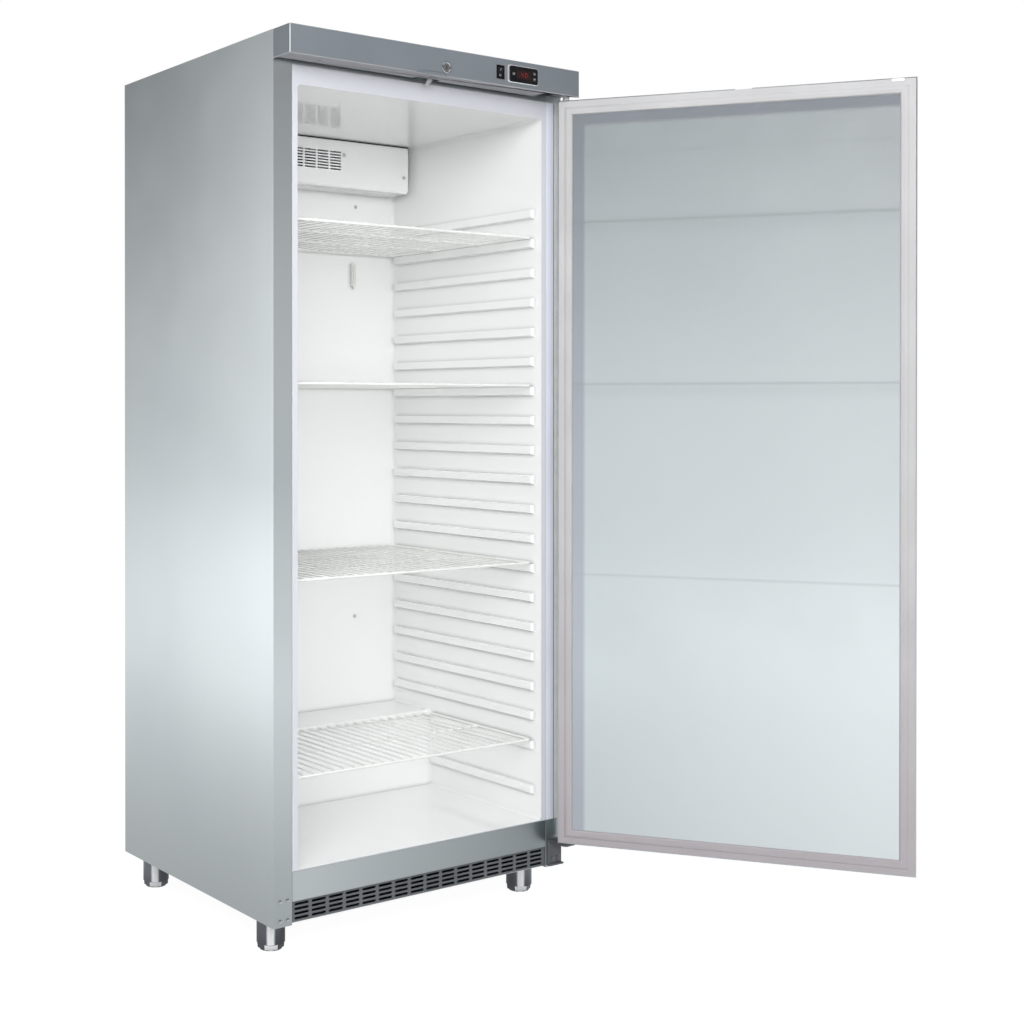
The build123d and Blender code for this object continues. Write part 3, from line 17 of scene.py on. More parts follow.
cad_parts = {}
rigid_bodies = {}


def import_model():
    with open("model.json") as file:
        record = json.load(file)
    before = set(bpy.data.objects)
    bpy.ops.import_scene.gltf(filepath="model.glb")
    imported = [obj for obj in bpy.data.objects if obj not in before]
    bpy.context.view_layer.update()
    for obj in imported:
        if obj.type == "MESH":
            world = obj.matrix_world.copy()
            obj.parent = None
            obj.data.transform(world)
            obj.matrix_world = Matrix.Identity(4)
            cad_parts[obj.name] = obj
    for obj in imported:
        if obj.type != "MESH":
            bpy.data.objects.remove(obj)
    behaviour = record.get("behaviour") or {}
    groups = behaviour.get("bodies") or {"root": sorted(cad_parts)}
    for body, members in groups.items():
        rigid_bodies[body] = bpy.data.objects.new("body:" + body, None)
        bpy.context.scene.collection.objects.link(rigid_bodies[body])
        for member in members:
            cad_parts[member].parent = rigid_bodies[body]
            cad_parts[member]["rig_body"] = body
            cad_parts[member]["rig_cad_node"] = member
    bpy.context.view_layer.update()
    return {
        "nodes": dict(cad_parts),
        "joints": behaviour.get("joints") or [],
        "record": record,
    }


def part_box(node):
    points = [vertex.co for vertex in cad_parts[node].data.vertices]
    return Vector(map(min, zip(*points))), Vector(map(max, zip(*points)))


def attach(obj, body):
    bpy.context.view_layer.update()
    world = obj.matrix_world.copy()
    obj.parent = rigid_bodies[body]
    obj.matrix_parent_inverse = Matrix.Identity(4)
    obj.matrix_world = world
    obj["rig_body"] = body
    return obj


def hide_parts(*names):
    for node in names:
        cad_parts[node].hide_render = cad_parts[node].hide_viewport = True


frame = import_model()
nodes = frame["nodes"]

# %% [markdown]
# ## Colour management
#
# Standard shows a colour about as it is written, which makes it easy to compare a paint
# with its written value.

# %% Plain view transform
scene = bpy.context.scene
scene.view_settings.view_transform = "Standard"
print("view transform:", scene.view_settings.view_transform)

# %% [markdown]
# ## The camera
#
# A tall cabinet looks right when its upright edges stay upright, so the camera is level and
# a small vertical shift frames it, as an architect's camera does. Turning the camera up or
# down would make the sides lean.

# %% Level camera in front and to the left
CAMERA_PLACE = (-2.020, -3.0007, 1.1306)
CAMERA_TURN = radians(35.25)
CAMERA_TILT = radians(-0.25)

bpy.ops.object.camera_add(
    location=CAMERA_PLACE, rotation=(pi / 2 + CAMERA_TILT, 0, -CAMERA_TURN)
)
camera = bpy.context.object
camera.name = "front_left_camera"
camera.data.lens = 54.17
camera.data.sensor_width = 36
camera.data.shift_x = 0.1343
camera.data.shift_y = -0.0961
scene.camera = camera
print("camera at", camera.location, "lens", camera.data.lens)

# %% [markdown]
# ## Wiring nodes
#
# The light, the floor and every finish are small node trees, and the same few moves build
# them all: add a node, put a number or another node's output into a socket, and combine two
# values. As helpers, each move is one line.


# %% Helpers: add a node, feed a socket, combine two values
def feed(tree, socket, value):
    """Put a number or another node's output into a socket."""
    if isinstance(value, bpy.types.NodeSocket):
        tree.links.new(value, socket)
    else:
        socket.default_value = value


def add(tree, kind, **values):
    """A new shader node with some of its inputs set by name."""
    node = tree.nodes.new("ShaderNode" + kind)
    for label, value in values.items():
        feed(tree, node.inputs[label.replace("_", " ")], value)
    return node


def combine(tree, how, first, second):
    """Two numbers, put together by a math operation."""
    node = add(tree, "Math")
    node.operation = how
    feed(tree, node.inputs[0], first)
    feed(tree, node.inputs[1], second)
    return node.outputs[0]


def product(tree, *values):
    """Several numbers multiplied together."""
    total = values[0]
    for value in values[1:]:
        total = combine(tree, "MULTIPLY", total, value)
    return total


# %% Helpers: vectors, ranges and ramps
def combine_vectors(tree, how, first, second=(0, 0, 0)):
    """Two vectors put together: a dot product gives a number, the rest a vector."""
    node = add(tree, "VectorMath")
    node.operation = how
    feed(tree, node.inputs[0], first)
    feed(tree, node.inputs[1], second)
    return node.outputs["Value" if how == "DOT_PRODUCT" else "Vector"]


def remap(tree, value, low, high, to_low=0.0, to_high=1.0, smooth=False):
    """A value moved from one range to another, and held inside it."""
    node = add(
        tree, "MapRange", Value=value, From_Min=low, From_Max=high, To_Min=to_low,
        To_Max=to_high,
    )
    if smooth:
        node.interpolation_type = "SMOOTHSTEP"
    return node.outputs["Result"]


def grey_ramp(tree, value, stops):
    """A ramp of (position, grey level) stops."""
    node = add(tree, "ValToRGB", Fac=value)
    marks = node.color_ramp.elements
    while len(marks) < len(stops):
        marks.new(0.5)
    for mark, (at, level) in zip(marks, stops):
        mark.position = at
        mark.color = (level, level, level, 1)
    return node.outputs["Color"]


# %% [markdown]
# ## Light for metal
#
# Satin steel shows whatever stands round it, so it needs an even, pale room. The world is
# white to the camera, to glossy rays and to rays through glass. Everything else gets a
# calmer grey level, which keeps the paint colours about as they are written.


# %% World: white room, calm fill light
def mix_shaders(tree, share, first, second):
    """Two shader nodes mixed by a share of the second one."""
    node = add(tree, "MixShader", Fac=share)
    tree.links.new(first.outputs[0], node.inputs[1])
    tree.links.new(second.outputs[0], node.inputs[2])
    return node


WHITE = (1, 1, 1, 1)
world = bpy.data.worlds.new("pale_room")
scene.world = world
world.use_nodes = True
room = world.node_tree
room.nodes.clear()
rays = add(room, "LightPath").outputs
mirrored = combine(room, "MAXIMUM", rays["Is Camera Ray"], rays["Is Glossy Ray"])
seen = combine(room, "MAXIMUM", mirrored, rays["Is Transmission Ray"])
calm = add(room, "Background", Color=(0.93, 0.97, 1.0, 1), Strength=0.45)
white = add(room, "Background", Color=WHITE, Strength=1.0)
room_light = mix_shaders(room, seen, calm, white)
add(room, "OutputWorld", Surface=room_light.outputs[0])
print("world has", len(room.nodes), "nodes")

# %% [markdown]
# ## Soft boxes
#
# A soft box is a large, dim area lamp. Two stand in front and reach into the cabinet, and
# one fills from above. Two more stand at the far left, one low and wide and one tall, where
# the side panel mirrors them as a broad sheen. The two in front don't show in reflections,
# so they leave no hot spot on the door.

# %% Five soft boxes
SOFT_BOXES = (
    ("front_soft_box", (-1.4, -4.0, 1.8), (0.05, 0.2, 0.95), (2.3, 2.4), 84, False),
    ("high_left_box", (-2.5, -2.6, 2.5), (0.2, 0.1, 0.9), (1.6, 1.6), 62, False),
    ("top_soft_box", (-0.6, -1.6, 4.2), (0.1, -0.2, 0.9), (3.0, 3.0), 25, True),
    ("side_low_box", (-2.9, 2.9, 0.36), (-0.4, 0.0, 0.70), (2.6, 0.7), 2.6, True),
    ("side_tall_box", (-2.7, 1.7, 1.35), (-0.4, -0.3, 1.0), (0.9, 2.6), 12.0, True),
)
for name, place, target, size, power, mirrored_too in SOFT_BOXES:
    bpy.ops.object.light_add(type="AREA", location=place)
    lamp = bpy.context.object
    lamp.name = name
    lamp.data.shape = "RECTANGLE"
    lamp.data.size, lamp.data.size_y = size
    lamp.data.energy = power
    aim = Vector(target) - Vector(place)
    lamp.rotation_euler = aim.to_track_quat("-Z", "Y").to_euler()
    lamp.visible_glossy = mirrored_too
    print(name, power, "W,", size, "m")

# %% [markdown]
# ## The room that steel sees
#
# Steel in an all white room has no shape. Here a wide round screen stands about the
# cabinet. It is white at the horizon and grey higher up, and only reflections see it, so it
# shades the steel and changes nothing else.

# %% A round screen that only reflections see
SCREEN_RADIUS = 7.0
SCREEN_HEIGHT = 7.5
bpy.ops.mesh.primitive_cylinder_add(
    vertices=96, radius=SCREEN_RADIUS, depth=SCREEN_HEIGHT, end_fill_type="NGON",
    location=(0, 0, SCREEN_HEIGHT / 2 - 0.3),
)
screen = bpy.context.object
screen.name = "graded_screen"
for kind in ("camera", "diffuse", "transmission", "shadow", "volume_scatter"):
    setattr(screen, "visible_" + kind, False)
print("screen", SCREEN_RADIUS, "m round and", SCREEN_HEIGHT, "m high")

# %% [markdown]
# The screen's level is the product of three: it fades upward, it is a little dimmer in
# front, and it is darkest a little to the left of the middle, where the side panel looks.


# %% The screen's grey levels
def empty_material(name):
    """A material with an empty node tree, and the tree."""
    material = bpy.data.materials.new(name)
    material.use_nodes = True
    material.node_tree.nodes.clear()
    return material, material.node_tree


screen_tone, tone = empty_material("graded_screen_tone")
spot = add(tone, "TexCoord").outputs["Object"]
on_x, on_y, on_z = add(tone, "SeparateXYZ", Vector=spot).outputs
upward = remap(tone, on_z, -2.9, 0.6, 1.0, 0.24, smooth=True)
frontward = remap(tone, on_y, -4.0, 3.0, 0.85, 1.0)
sideways = grey_ramp(
    tone, remap(tone, on_x, -SCREEN_RADIUS, SCREEN_RADIUS), ((0, 1), (0.40, 0.58), (0.72, 0.85))
)
glow = add(tone, "Emission", Color=WHITE, Strength=product(tone, upward, frontward, sideways))
add(tone, "OutputMaterial", Surface=glow.outputs[0])
screen.data.materials.append(screen_tone)
print("screen tone has", len(tone.nodes), "nodes")

# %% [markdown]
# ## The floor
#
# The floor is a large pale disc. The camera sees it almost white with a faint shadow under
# the feet. In reflections it carries painted shade: it is darker close to the cabinet, where a
# real floor lies in the cabinet's shadow, so its level there follows the distance from the
# cabinet's four sides.

# %% A large disc just under the feet
bpy.ops.mesh.primitive_circle_add(
    vertices=96, radius=14, fill_type="NGON", location=(0, 0, -0.0005)
)
floor = bpy.context.object
floor.name = "pale_floor"
print("floor", floor.dimensions)

# %% Floor paint: pale to the eye, with painted shade in reflections
HALF_CABINET = (0.39, 0.34, 0)
floor_paint, ground = empty_material("pale_floor_paint")
spot = add(ground, "TexCoord").outputs["Object"]
beside = combine_vectors(
    ground, "SUBTRACT", combine_vectors(ground, "ABSOLUTE", spot), HALF_CABINET
)
aside, ahead, _ = add(ground, "SeparateXYZ", Vector=beside).outputs
away = remap(ground, combine(ground, "MAXIMUM", aside, ahead), -0.1, 2.4)
# painted shade in reflections: the floor's level falls close to the cabinet
level = grey_ramp(
    ground, away, ((0, 0.30), (0.035, 0.42), (0.075, 0.72), (0.35, 0.80), (1, 1))
)
rays = add(ground, "LightPath").outputs
paint = add(ground, "BsdfDiffuse", Color=(0.55, 0.55, 0.55, 1))
lift = add(ground, "Emission", Color=WHITE, Strength=1.34)
eye = mix_shaders(ground, product(ground, rays["Is Camera Ray"], 0.70), paint, lift)
painted_shade_in_reflections = add(ground, "Emission", Color=WHITE, Strength=level)
both = mix_shaders(ground, rays["Is Glossy Ray"], eye, painted_shade_in_reflections)
add(ground, "OutputMaterial", Surface=both.outputs[0])
floor.data.materials.append(floor_paint)
print("floor paint has", len(ground.nodes), "nodes")

# %% [markdown]
# ## Shared effects as node groups
#
# Grain, moulding texture, handling marks and settled dust turn up on many finishes. Each is
# a node group that is built once and then placed in every material with its own values, so
# a change to the group changes them all.


# %% Helpers: open a node group, and noise
def open_group(name, sockets_in, sockets_out):
    """A shader node group with float inputs and outputs; also its inputs and outputs."""
    group = bpy.data.node_groups.new(name, "ShaderNodeTree")
    for label, default in sockets_in.items():
        socket = group.interface.new_socket(
            label, in_out="INPUT", socket_type="NodeSocketFloat"
        )
        socket.default_value = default
    for label in sockets_out:
        group.interface.new_socket(
            label, in_out="OUTPUT", socket_type="NodeSocketFloat"
        )
    given = group.nodes.new("NodeGroupInput").outputs
    result = group.nodes.new("NodeGroupOutput").inputs
    return group, given, result


def place_in(tree):
    """Where a point is on the piece."""
    return add(tree, "TexCoord").outputs["Object"]


def noise(tree, vector, scale, detail):
    """Noise of a scale and a detail, read at a vector."""
    return add(tree, "TexNoise", Vector=vector, Scale=scale, Detail=detail).outputs["Fac"]


# %% [markdown]
# ### Satin grain
#
# Rolled stainless steel carries fine lines along the sheet, together with broad, very faint
# clouds. Noise that is stretched along one axis gives the lines. A wave texture would
# repeat too evenly.

# %% Group: satin grain
satin_grain, given, result = open_group(
    "satin_grain", {"Fineness": 900.0, "Stretch": 0.02}, ["Lines", "Clouds"]
)
squeeze = add(satin_grain, "CombineXYZ", X=1.0, Y=1.0, Z=given["Stretch"])
stretched = combine_vectors(
    satin_grain, "MULTIPLY", place_in(satin_grain), squeeze.outputs[0]
)
lines = noise(satin_grain, stretched, given["Fineness"], 3.0)
clouds = noise(satin_grain, place_in(satin_grain), 2.4, 2.0)
feed(satin_grain, result["Lines"], remap(satin_grain, lines, 0.3, 0.7))
feed(satin_grain, result["Clouds"], remap(satin_grain, clouds, 0.3, 0.7))
print("satin grain has", len(satin_grain.nodes), "nodes")

# %% [markdown]
# ### Moulded skin
#
# Blown or formed plastic and sprayed enamel both have a slight orange peel, and large sheets
# of them are never quite flat. Two sizes of noise give both.

# %% Group: moulded skin
moulded_skin, given, result = open_group(
    "moulded_skin", {"Peel": 420.0, "Sway": 3.0}, ["Peel", "Sway"]
)
sway = noise(moulded_skin, place_in(moulded_skin), given["Sway"], 1.0)
feed(
    moulded_skin, result["Peel"],
    noise(moulded_skin, place_in(moulded_skin), given["Peel"], 2.0),
)
feed(moulded_skin, result["Sway"], remap(moulded_skin, sway, 0.3, 0.7))
print("moulded skin has", len(moulded_skin.nodes), "nodes")

# %% [markdown]
# ### Handling marks
#
# Doors and headers are wiped and touched every day. The marks are a soft patchy mask that
# makes the finish a little duller where it is high.

# %% Group: handling marks
handling_marks, given, result = open_group("handling_marks", {"Size": 7.0}, ["Marks"])
patch = noise(handling_marks, place_in(handling_marks), given["Size"], 5.0)
feed(handling_marks, result["Marks"], remap(handling_marks, patch, 0.45, 0.75))
print("handling marks have", len(handling_marks.nodes), "nodes")

# %% [markdown]
# ### Settled dust
#
# Dust lies on what faces up. The mask is the upward part of the surface normal, broken up
# by noise.

# %% Group: settled dust
settled_dust, given, result = open_group("settled_dust", {"Grain": 60.0}, ["Dust"])
facing = add(settled_dust, "NewGeometry").outputs["Normal"]
upward = add(settled_dust, "SeparateXYZ", Vector=facing).outputs[2]
speck = noise(settled_dust, place_in(settled_dust), given["Grain"], 3.0)
lying = remap(settled_dust, upward, 0.6, 1.0)
feed(settled_dust, result["Dust"], product(settled_dust, lying, speck))
print("settled dust has", len(settled_dust.nodes), "nodes")

# %% [markdown]
# ### Painted shade in corners
#
# Where a moulding meets a wall, less light reaches the corner, so the corner gets painted shade
# and looks a little darker. The Ambient Occlusion node measures how closed in a point is.

# %% Group: painted shade in enclosed corners
closed_corners, given, result = open_group(
    "closed_corners", {"Reach": 0.012, "Least": 0.45}, ["Shade"]
)
enclosed = add(closed_corners, "AmbientOcclusion", Distance=given["Reach"])
enclosed.samples = 8
# painted shade: darker where the Ambient Occlusion node finds the point closed in
feed(
    closed_corners, result["Shade"],
    remap(closed_corners, enclosed.outputs["AO"], given["Least"], 0.95, 1.0, 0.0),
)
print("closed in corners have", len(closed_corners.nodes), "nodes")

# %% [markdown]
# ## Finishes
#
# Every finish is a Principled shader. Two or three effect groups move its colour, its
# roughness and its bump a little, which is what tells the eye that steel is steel and
# plastic is plastic. Numbers that are the same all over stay on the shader's own sockets.


# %% Helpers: mix colours, place a group
def mix_colours(tree, share, first, second):
    """Two colours mixed by a share of the second one."""
    node = add(tree, "Mix")
    node.data_type = "RGBA"
    for label, value in (("Factor", share), ("A", first), ("B", second)):
        feed(tree, node.inputs[label], value)
    return node.outputs["Result"]


def effect_in(tree, group, values):
    """A shared effect placed in a material with its own values; gives its outputs."""
    node = add(tree, "Group")
    node.node_tree = group
    for label, value in values.items():
        feed(tree, node.inputs[label], value)
    return node.outputs


def skin(peel, sway, relief="Peel"):
    """The moulded skin at a fineness of peel and of sway."""
    return moulded_skin, {"Peel": peel, "Sway": sway}, "Sway", relief


def grained(fineness, stretch, tint="Clouds"):
    """The satin grain at a fineness, squeezed along Z."""
    return satin_grain, {"Fineness": fineness, "Stretch": stretch}, tint, "Lines"


def dusty(grain):
    """The settled dust at a grain."""
    return settled_dust, {"Grain": grain}, "Dust", "Dust"


# %% A helper that makes a finish
def finish(name, colour, second, metal, rough, effect, rough_by, bump=(0, 0), **sockets):
    """A Principled material whose effect group tints, roughens and bumps it.

    effect is (group, {input: value}, tint output, bump output); rough_by is the
    spread of the roughness; bump is (strength, distance in metres).
    """
    material = bpy.data.materials.new(name)
    material.use_nodes = True
    tree = material.node_tree
    shader = tree.nodes["Principled BSDF"].inputs
    shader["Metallic"].default_value = metal
    for label, value in sockets.items():
        shader[label.replace("_", " ")].default_value = value
    group, values, tint_by, bump_by = effect
    masks = effect_in(tree, group, values)
    tinted = mix_colours(tree, masks[tint_by], (*colour, 1), (*second, 1))
    feed(tree, shader["Base Color"], tinted)
    worn = effect_in(tree, handling_marks, {})["Marks"]
    low, high = rough - rough_by / 2, rough + rough_by / 2
    feed(tree, shader["Roughness"], remap(tree, worn, 0, 1, low, high))
    strength, distance = bump
    if strength:
        relief = add(
            tree, "Bump", Strength=strength, Distance=distance, Height=masks[bump_by]
        )
        feed(tree, shader["Normal"], relief.outputs["Normal"])
    return material


# %% [markdown]
# ### Telling places apart
#
# Some pieces look different from place to place: a fold carries a painted highlight, a moulding
# has a greyer frame. A place on the piece is a distance along a direction, so a mask that
# rises from 0 to 1 between two distances marks it. Masks are then combined, and a second
# colour is mixed in where they are high.

# %% Helpers: masks by place
ALONG = {"x": (1, 0, 0), "y": (0, 1, 0), "z": (0, 0, 1)}


def place_mask(tree, direction, start, end, mirrored=False):
    """A mask that rises from 0 at start to 1 at end, along a direction."""
    way = ALONG.get(direction, direction)
    distance = combine_vectors(tree, "DOT_PRODUCT", place_in(tree), way)
    if mirrored:
        distance = combine(tree, "ABSOLUTE", distance, 0)
    return remap(tree, distance, start, end)


def line_mask(tree, direction, middle, half, strength):
    """A soft line of a half width across a direction."""
    up = place_mask(tree, direction, middle - half, middle)
    down = place_mask(tree, direction, middle + half, middle)
    return product(tree, combine(tree, "MINIMUM", up, down), strength)


# %% Helpers: use a mask, and copy a finish
def mix_in(tree, mask, colour):
    """Mix a colour into a finish where a mask is high."""
    base = tree.nodes["Principled BSDF"].inputs["Base Color"]
    before = base.links[0].from_socket
    feed(tree, base, mix_colours(tree, mask, before, (*colour, 1)))


def less_metal(tree, mask):
    """Take the metal out of a finish where a mask is high."""
    metallic = tree.nodes["Principled BSDF"].inputs["Metallic"]
    feed(tree, metallic, combine(tree, "SUBTRACT", 1.0, mask))


def own_copy(material, name):
    """A copy of a finish under its own name, and the copy's node tree."""
    copy = material.copy()
    copy.name = name
    return copy, copy.node_tree


# %% [markdown]
# ### Metals
#
# The outer sheets are satin stainless steel with a cool tint. The frame of the machine is
# zinc coated, and the small fittings are brighter and smoother.

# %% Steel, zinc, plate and copper
stainless = finish(
    "satin_stainless", (0.56, 0.61, 0.632), (0.60, 0.645, 0.663), 0.94, 0.34,
    grained(700, 0.03), 0.04, (0.05, 0.0002),
)
galvanised = finish(
    "zinc_coated_sheet", (0.50, 0.52, 0.53), (0.60, 0.62, 0.64), 1.0, 0.46,
    grained(60, 1.0, "Lines"), 0.12, (0.08, 0.0004),
)
bright_metal = finish(
    "bright_plate", (0.66, 0.67, 0.69), (0.58, 0.59, 0.61), 1.0, 0.18,
    grained(400, 1.0), 0.08,
)
strike_steel = finish(
    "pressed_strike_steel", (0.58, 0.59, 0.60), (0.66, 0.67, 0.68), 1.0, 0.35,
    grained(300, 1.0), 0.10,
)
cast_tongue = finish(
    "cast_tongue_alloy", (0.70, 0.70, 0.72), (0.62, 0.62, 0.64), 0.6, 0.42,
    skin(600, 30), 0.08, (0.2, 0.0003),
)
coil_aluminium = finish(
    "coil_aluminium", (0.74, 0.75, 0.77), (0.66, 0.67, 0.69), 1.0, 0.34,
    grained(500, 1.0, "Lines"), 0.10,
)
copper = finish(
    "drawn_copper", (0.72, 0.38, 0.24), (0.48, 0.24, 0.16), 1.0, 0.30,
    skin(90, 14), 0.16,
)
print("metals:", stainless.name, galvanised.name, bright_metal.name, copper.name)

# %% [markdown]
# ### The lower front sheet
#
# This narrow sheet lies under the open door, which takes light from it more and more toward
# the hinge. That shade is painted into its colour: it gets a copy of the stainless finish
# with painted shade that darkens it along X toward the hinge.

# %% Stainless with painted shade toward the hinge
front_stainless, tree = own_copy(stainless, "stainless_lower_front")
painted_door_shade = product(tree, place_mask(tree, "x", -0.30, 0.30), 0.75)
# painted shade from the open door, darker toward the hinge
mix_in(tree, painted_door_shade, (0.22, 0.25, 0.265))
print(front_stainless.name, "has", len(tree.nodes), "nodes")

# %% [markdown]
# ### The side sheets
#
# The two sides are large, and the light on them is not the same all over. The sides get a copy
# of the stainless finish with soft masks by place: a painted sheen makes the part near the door
# paler, except around the middle height, and painted shade makes the part near the floor
# darker.

# %% Stainless with a painted sheen at the front and painted shade at the floor
side_stainless, tree = own_copy(stainless, "stainless_sides")
near_door = place_mask(tree, "y", 0.12, -0.30)
above_floor = place_mask(tree, "z", 0.18, 0.50)
off_middle = combine(tree, "SUBTRACT", 1.0, line_mask(tree, "z", 0.98, 0.42, 1.0))
# painted sheen: paler near the door, above the floor and away from the middle height
mix_in(tree, product(tree, near_door, above_floor, off_middle, 0.48), (0.80, 0.85, 0.87))
# painted shade: darker near the floor, where the steel mirrors the shaded floor
painted_floor_shade = product(tree, place_mask(tree, "z", 0.55, 0.10), 0.48)
mix_in(tree, painted_floor_shade, (0.34, 0.375, 0.39))
print(side_stainless.name, "has", len(tree.nodes), "nodes")

# %% [markdown]
# ### Turned feet
#
# A foot is turned from bright bar, so it mirrors a narrow part of the room as an upright
# streak and is dark beside it. The finish is chrome darkened as painted shade for the shaded
# floor it mirrors, and the streak is a painted highlight: a mask on the surface normal makes
# the faces that point to the bright side of the room pale.

# %% Darkened chrome with a painted highlight on its bright side
BRIGHT_SIDE = (-0.53, -0.85, 0)
foot_steel = finish(
    "turned_foot_steel", (0.115, 0.125, 0.145), (0.20, 0.215, 0.235), 1.0, 0.14,
    grained(900, 8.0), 0.06, (0.04, 0.0002),
)
tree = foot_steel.node_tree
facing = add(tree, "NewGeometry").outputs["Normal"]
turned_to = combine_vectors(tree, "DOT_PRODUCT", facing, BRIGHT_SIDE)
painted_streak = remap(tree, turned_to, 0.945, 0.985)
# painted highlight: an upright pale streak on the faces turned to the bright side
mix_in(tree, painted_streak, (0.97, 0.98, 1.0))
less_metal(tree, product(tree, painted_streak, 0.6))
print(foot_steel.name, "has", len(tree.nodes), "nodes")

# %% [markdown]
# ### White spacers on the hinge pins
#
# The pins are steel, and the spacer between the header and the door is white nylon. Both
# belong to one piece, so the finish tells them apart by height.

# %% Pin steel with white spacers
header_low, header_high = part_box("header_cover")
pin_steel, tree = own_copy(bright_metal, "pin_steel_and_spacer")
spacer = product(
    tree,
    place_mask(tree, "z", header_low.z - 0.008, header_low.z - 0.007),
    place_mask(tree, "z", header_low.z + 0.010, header_low.z + 0.009),
)
mix_in(tree, spacer, (0.90, 0.90, 0.88))
less_metal(tree, spacer)
print(pin_steel.name, "has", len(tree.nodes), "nodes")

# %% [markdown]
# ### Enamels
#
# The header, the grille, the hinge brackets and the motors are painted. Enamel is not a
# metal to light, so its colour is plain and only its coat is shiny.

# %% Painted steel
grey_enamel = finish(
    "grey_header_enamel", (0.150, 0.168, 0.186), (0.165, 0.184, 0.202), 0.0, 0.42,
    skin(900, 5), 0.06, (0.06, 0.0002),
)
grille_grey = finish(
    "grey_grille_enamel", (0.115, 0.125, 0.135), (0.095, 0.105, 0.115), 0.0, 0.45,
    skin(700, 9), 0.08, (0.08, 0.0002),
)
hinge_steel = finish(
    "dark_hinge_enamel", (0.075, 0.080, 0.088), (0.10, 0.105, 0.115), 0.0, 0.38,
    skin(700, 20), 0.08, (0.1, 0.0002),
)
motor_steel = finish(
    "motor_enamel", (0.10, 0.105, 0.11), (0.14, 0.145, 0.15), 0.0, 0.42, dusty(90), 0.1,
)
black_enamel = finish(
    "black_dome_enamel", (0.012, 0.012, 0.013), (0.09, 0.085, 0.08), 0.0, 0.28,
    dusty(40), 0.14, Coat_Weight=0.4,
)
shelf_wire = finish(
    "white_dipped_wire", (0.84, 0.84, 0.82), (0.78, 0.78, 0.76), 0.0, 0.26,
    skin(500, 12), 0.06, (0.1, 0.0002),
)
print("enamels:", grey_enamel.name, grille_grey.name, hinge_steel.name, shelf_wire.name)

# %% [markdown]
# ### The header's painted highlights
#
# The header's upright corners and its top edge carry a painted highlight, so they are
# pale. The lip under its lower edge is painted lighter too: painted light on an underside that
# would lie in shade.

# %% Header enamel with painted highlights on its folds
header_enamel, tree = own_copy(grey_enamel, "header_enamel_with_polished_folds")
upright_fold_highlight = product(
    tree,
    place_mask(tree, "x", header_high.x - 0.0017, header_high.x - 0.0007, mirrored=True),
    place_mask(tree, "y", header_low.y + 0.0018, header_low.y + 0.0009),
)
top_fold_highlight = product(
    tree,
    place_mask(tree, "z", header_high.z - 0.0018, header_high.z - 0.0005),
    place_mask(tree, "y", header_low.y + 0.0025, header_low.y + 0.0012),
    0.45,
)
# painted highlight along the upright folds and, fainter, along the top fold
mix_in(tree, combine(tree, "MAXIMUM", upright_fold_highlight, top_fold_highlight), (0.74, 0.75, 0.77))
lip_painted_light = place_mask(tree, "z", header_low.z + 0.0026, header_low.z + 0.0014)
# painted light on the lip under the header's lower edge
mix_in(tree, product(tree, lip_painted_light, 0.8), (0.36, 0.35, 0.37))
print(header_enamel.name, "has", len(tree.nodes), "nodes")

# %% [markdown]
# ### The mouldings
#
# The liner is drawn from one glossy white sheet, so it mirrors its neighbours faintly and
# is never perfectly flat. Its inner corners get a little painted shade.

# %% White moulding with painted shade in its corners
white_moulding = finish(
    "glossy_white_moulding", (0.92, 0.925, 0.92), (0.90, 0.905, 0.90), 0.0, 0.13,
    skin(240, 2.2, "Sway"), 0.05, (0.05, 0.002), Coat_Weight=0.35, Coat_Roughness=0.06,
)
tree = white_moulding.node_tree
corner = effect_in(tree, closed_corners, {"Reach": 0.010, "Least": 0.40})
# painted shade: corners that the Ambient Occlusion node finds closed in are darkened
mix_in(tree, corner["Shade"], (0.64, 0.65, 0.65))
print(white_moulding.name, "has", len(tree.nodes), "nodes")

# %% [markdown]
# ### The liner's front frame
#
# The liner's flat front frame is greyer than the inside. Both belong to one moulding, so the
# finish tells them apart by place: whatever lies at the very front takes the frame's colour.

# %% Liner finish with a greyer front frame
liner_low, liner_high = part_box("inner_liner")
liner_moulding, tree = own_copy(white_moulding, "liner_moulding")
at_front = place_mask(tree, "y", liner_low.y + 0.0008, liner_low.y + 0.0002)
mix_in(tree, at_front, (0.60, 0.61, 0.65))
print("liner frame is greyer in front of y =", liner_low.y + 0.0008)

# %% [markdown]
# ### Small plastics
#
# The controller and the switch are glossy black. The window over the figures is smoked
# red, the keys are grey, the bushes are white nylon, and the strip on the post is pale,
# with painted light that makes it paler than its plastic.

# %% Controller, switch, keys, bushes and strip
black_plastic = finish(
    "fine_black_moulding", (0.006, 0.006, 0.007), (0.011, 0.011, 0.012), 0.0, 0.20,
    skin(1400, 30), 0.06, (0.05, 0.0002), Specular_IOR_Level=0.22,
)
red_window = finish(
    "smoked_red_window", (0.016, 0.002, 0.002), (0.024, 0.003, 0.003), 0.0, 0.10,
    skin(900, 60), 0.04, Coat_Weight=0.5,
)
silver_key = finish(
    "grey_key_moulding", (0.045, 0.047, 0.05), (0.06, 0.062, 0.066), 0.0, 0.36,
    skin(1500, 80), 0.08, (0.1, 0.0001),
)
white_bush = finish(
    "white_bush_nylon", (0.78, 0.78, 0.75), (0.72, 0.72, 0.69), 0.0, 0.38,
    skin(700, 40), 0.1, (0.1, 0.0002),
)
# pale plastic, lightened as painted light against the door's shadow
post_plastic = finish(
    "pale_blue_post_plastic", (0.70, 0.72, 0.80), (0.66, 0.68, 0.76), 0.0, 0.40,
    skin(800, 8), 0.10, (0.1, 0.0003),
)
print("plastics:", black_plastic.name, red_window.name, silver_key.name, white_bush.name)

# %% [markdown]
# ### Rubber and foam
#
# The door seal is a pale, soft plastic, and its finish is darker toward the floor.
# The mounts under the machine are black rubber, and the walls are filled with cream foam.

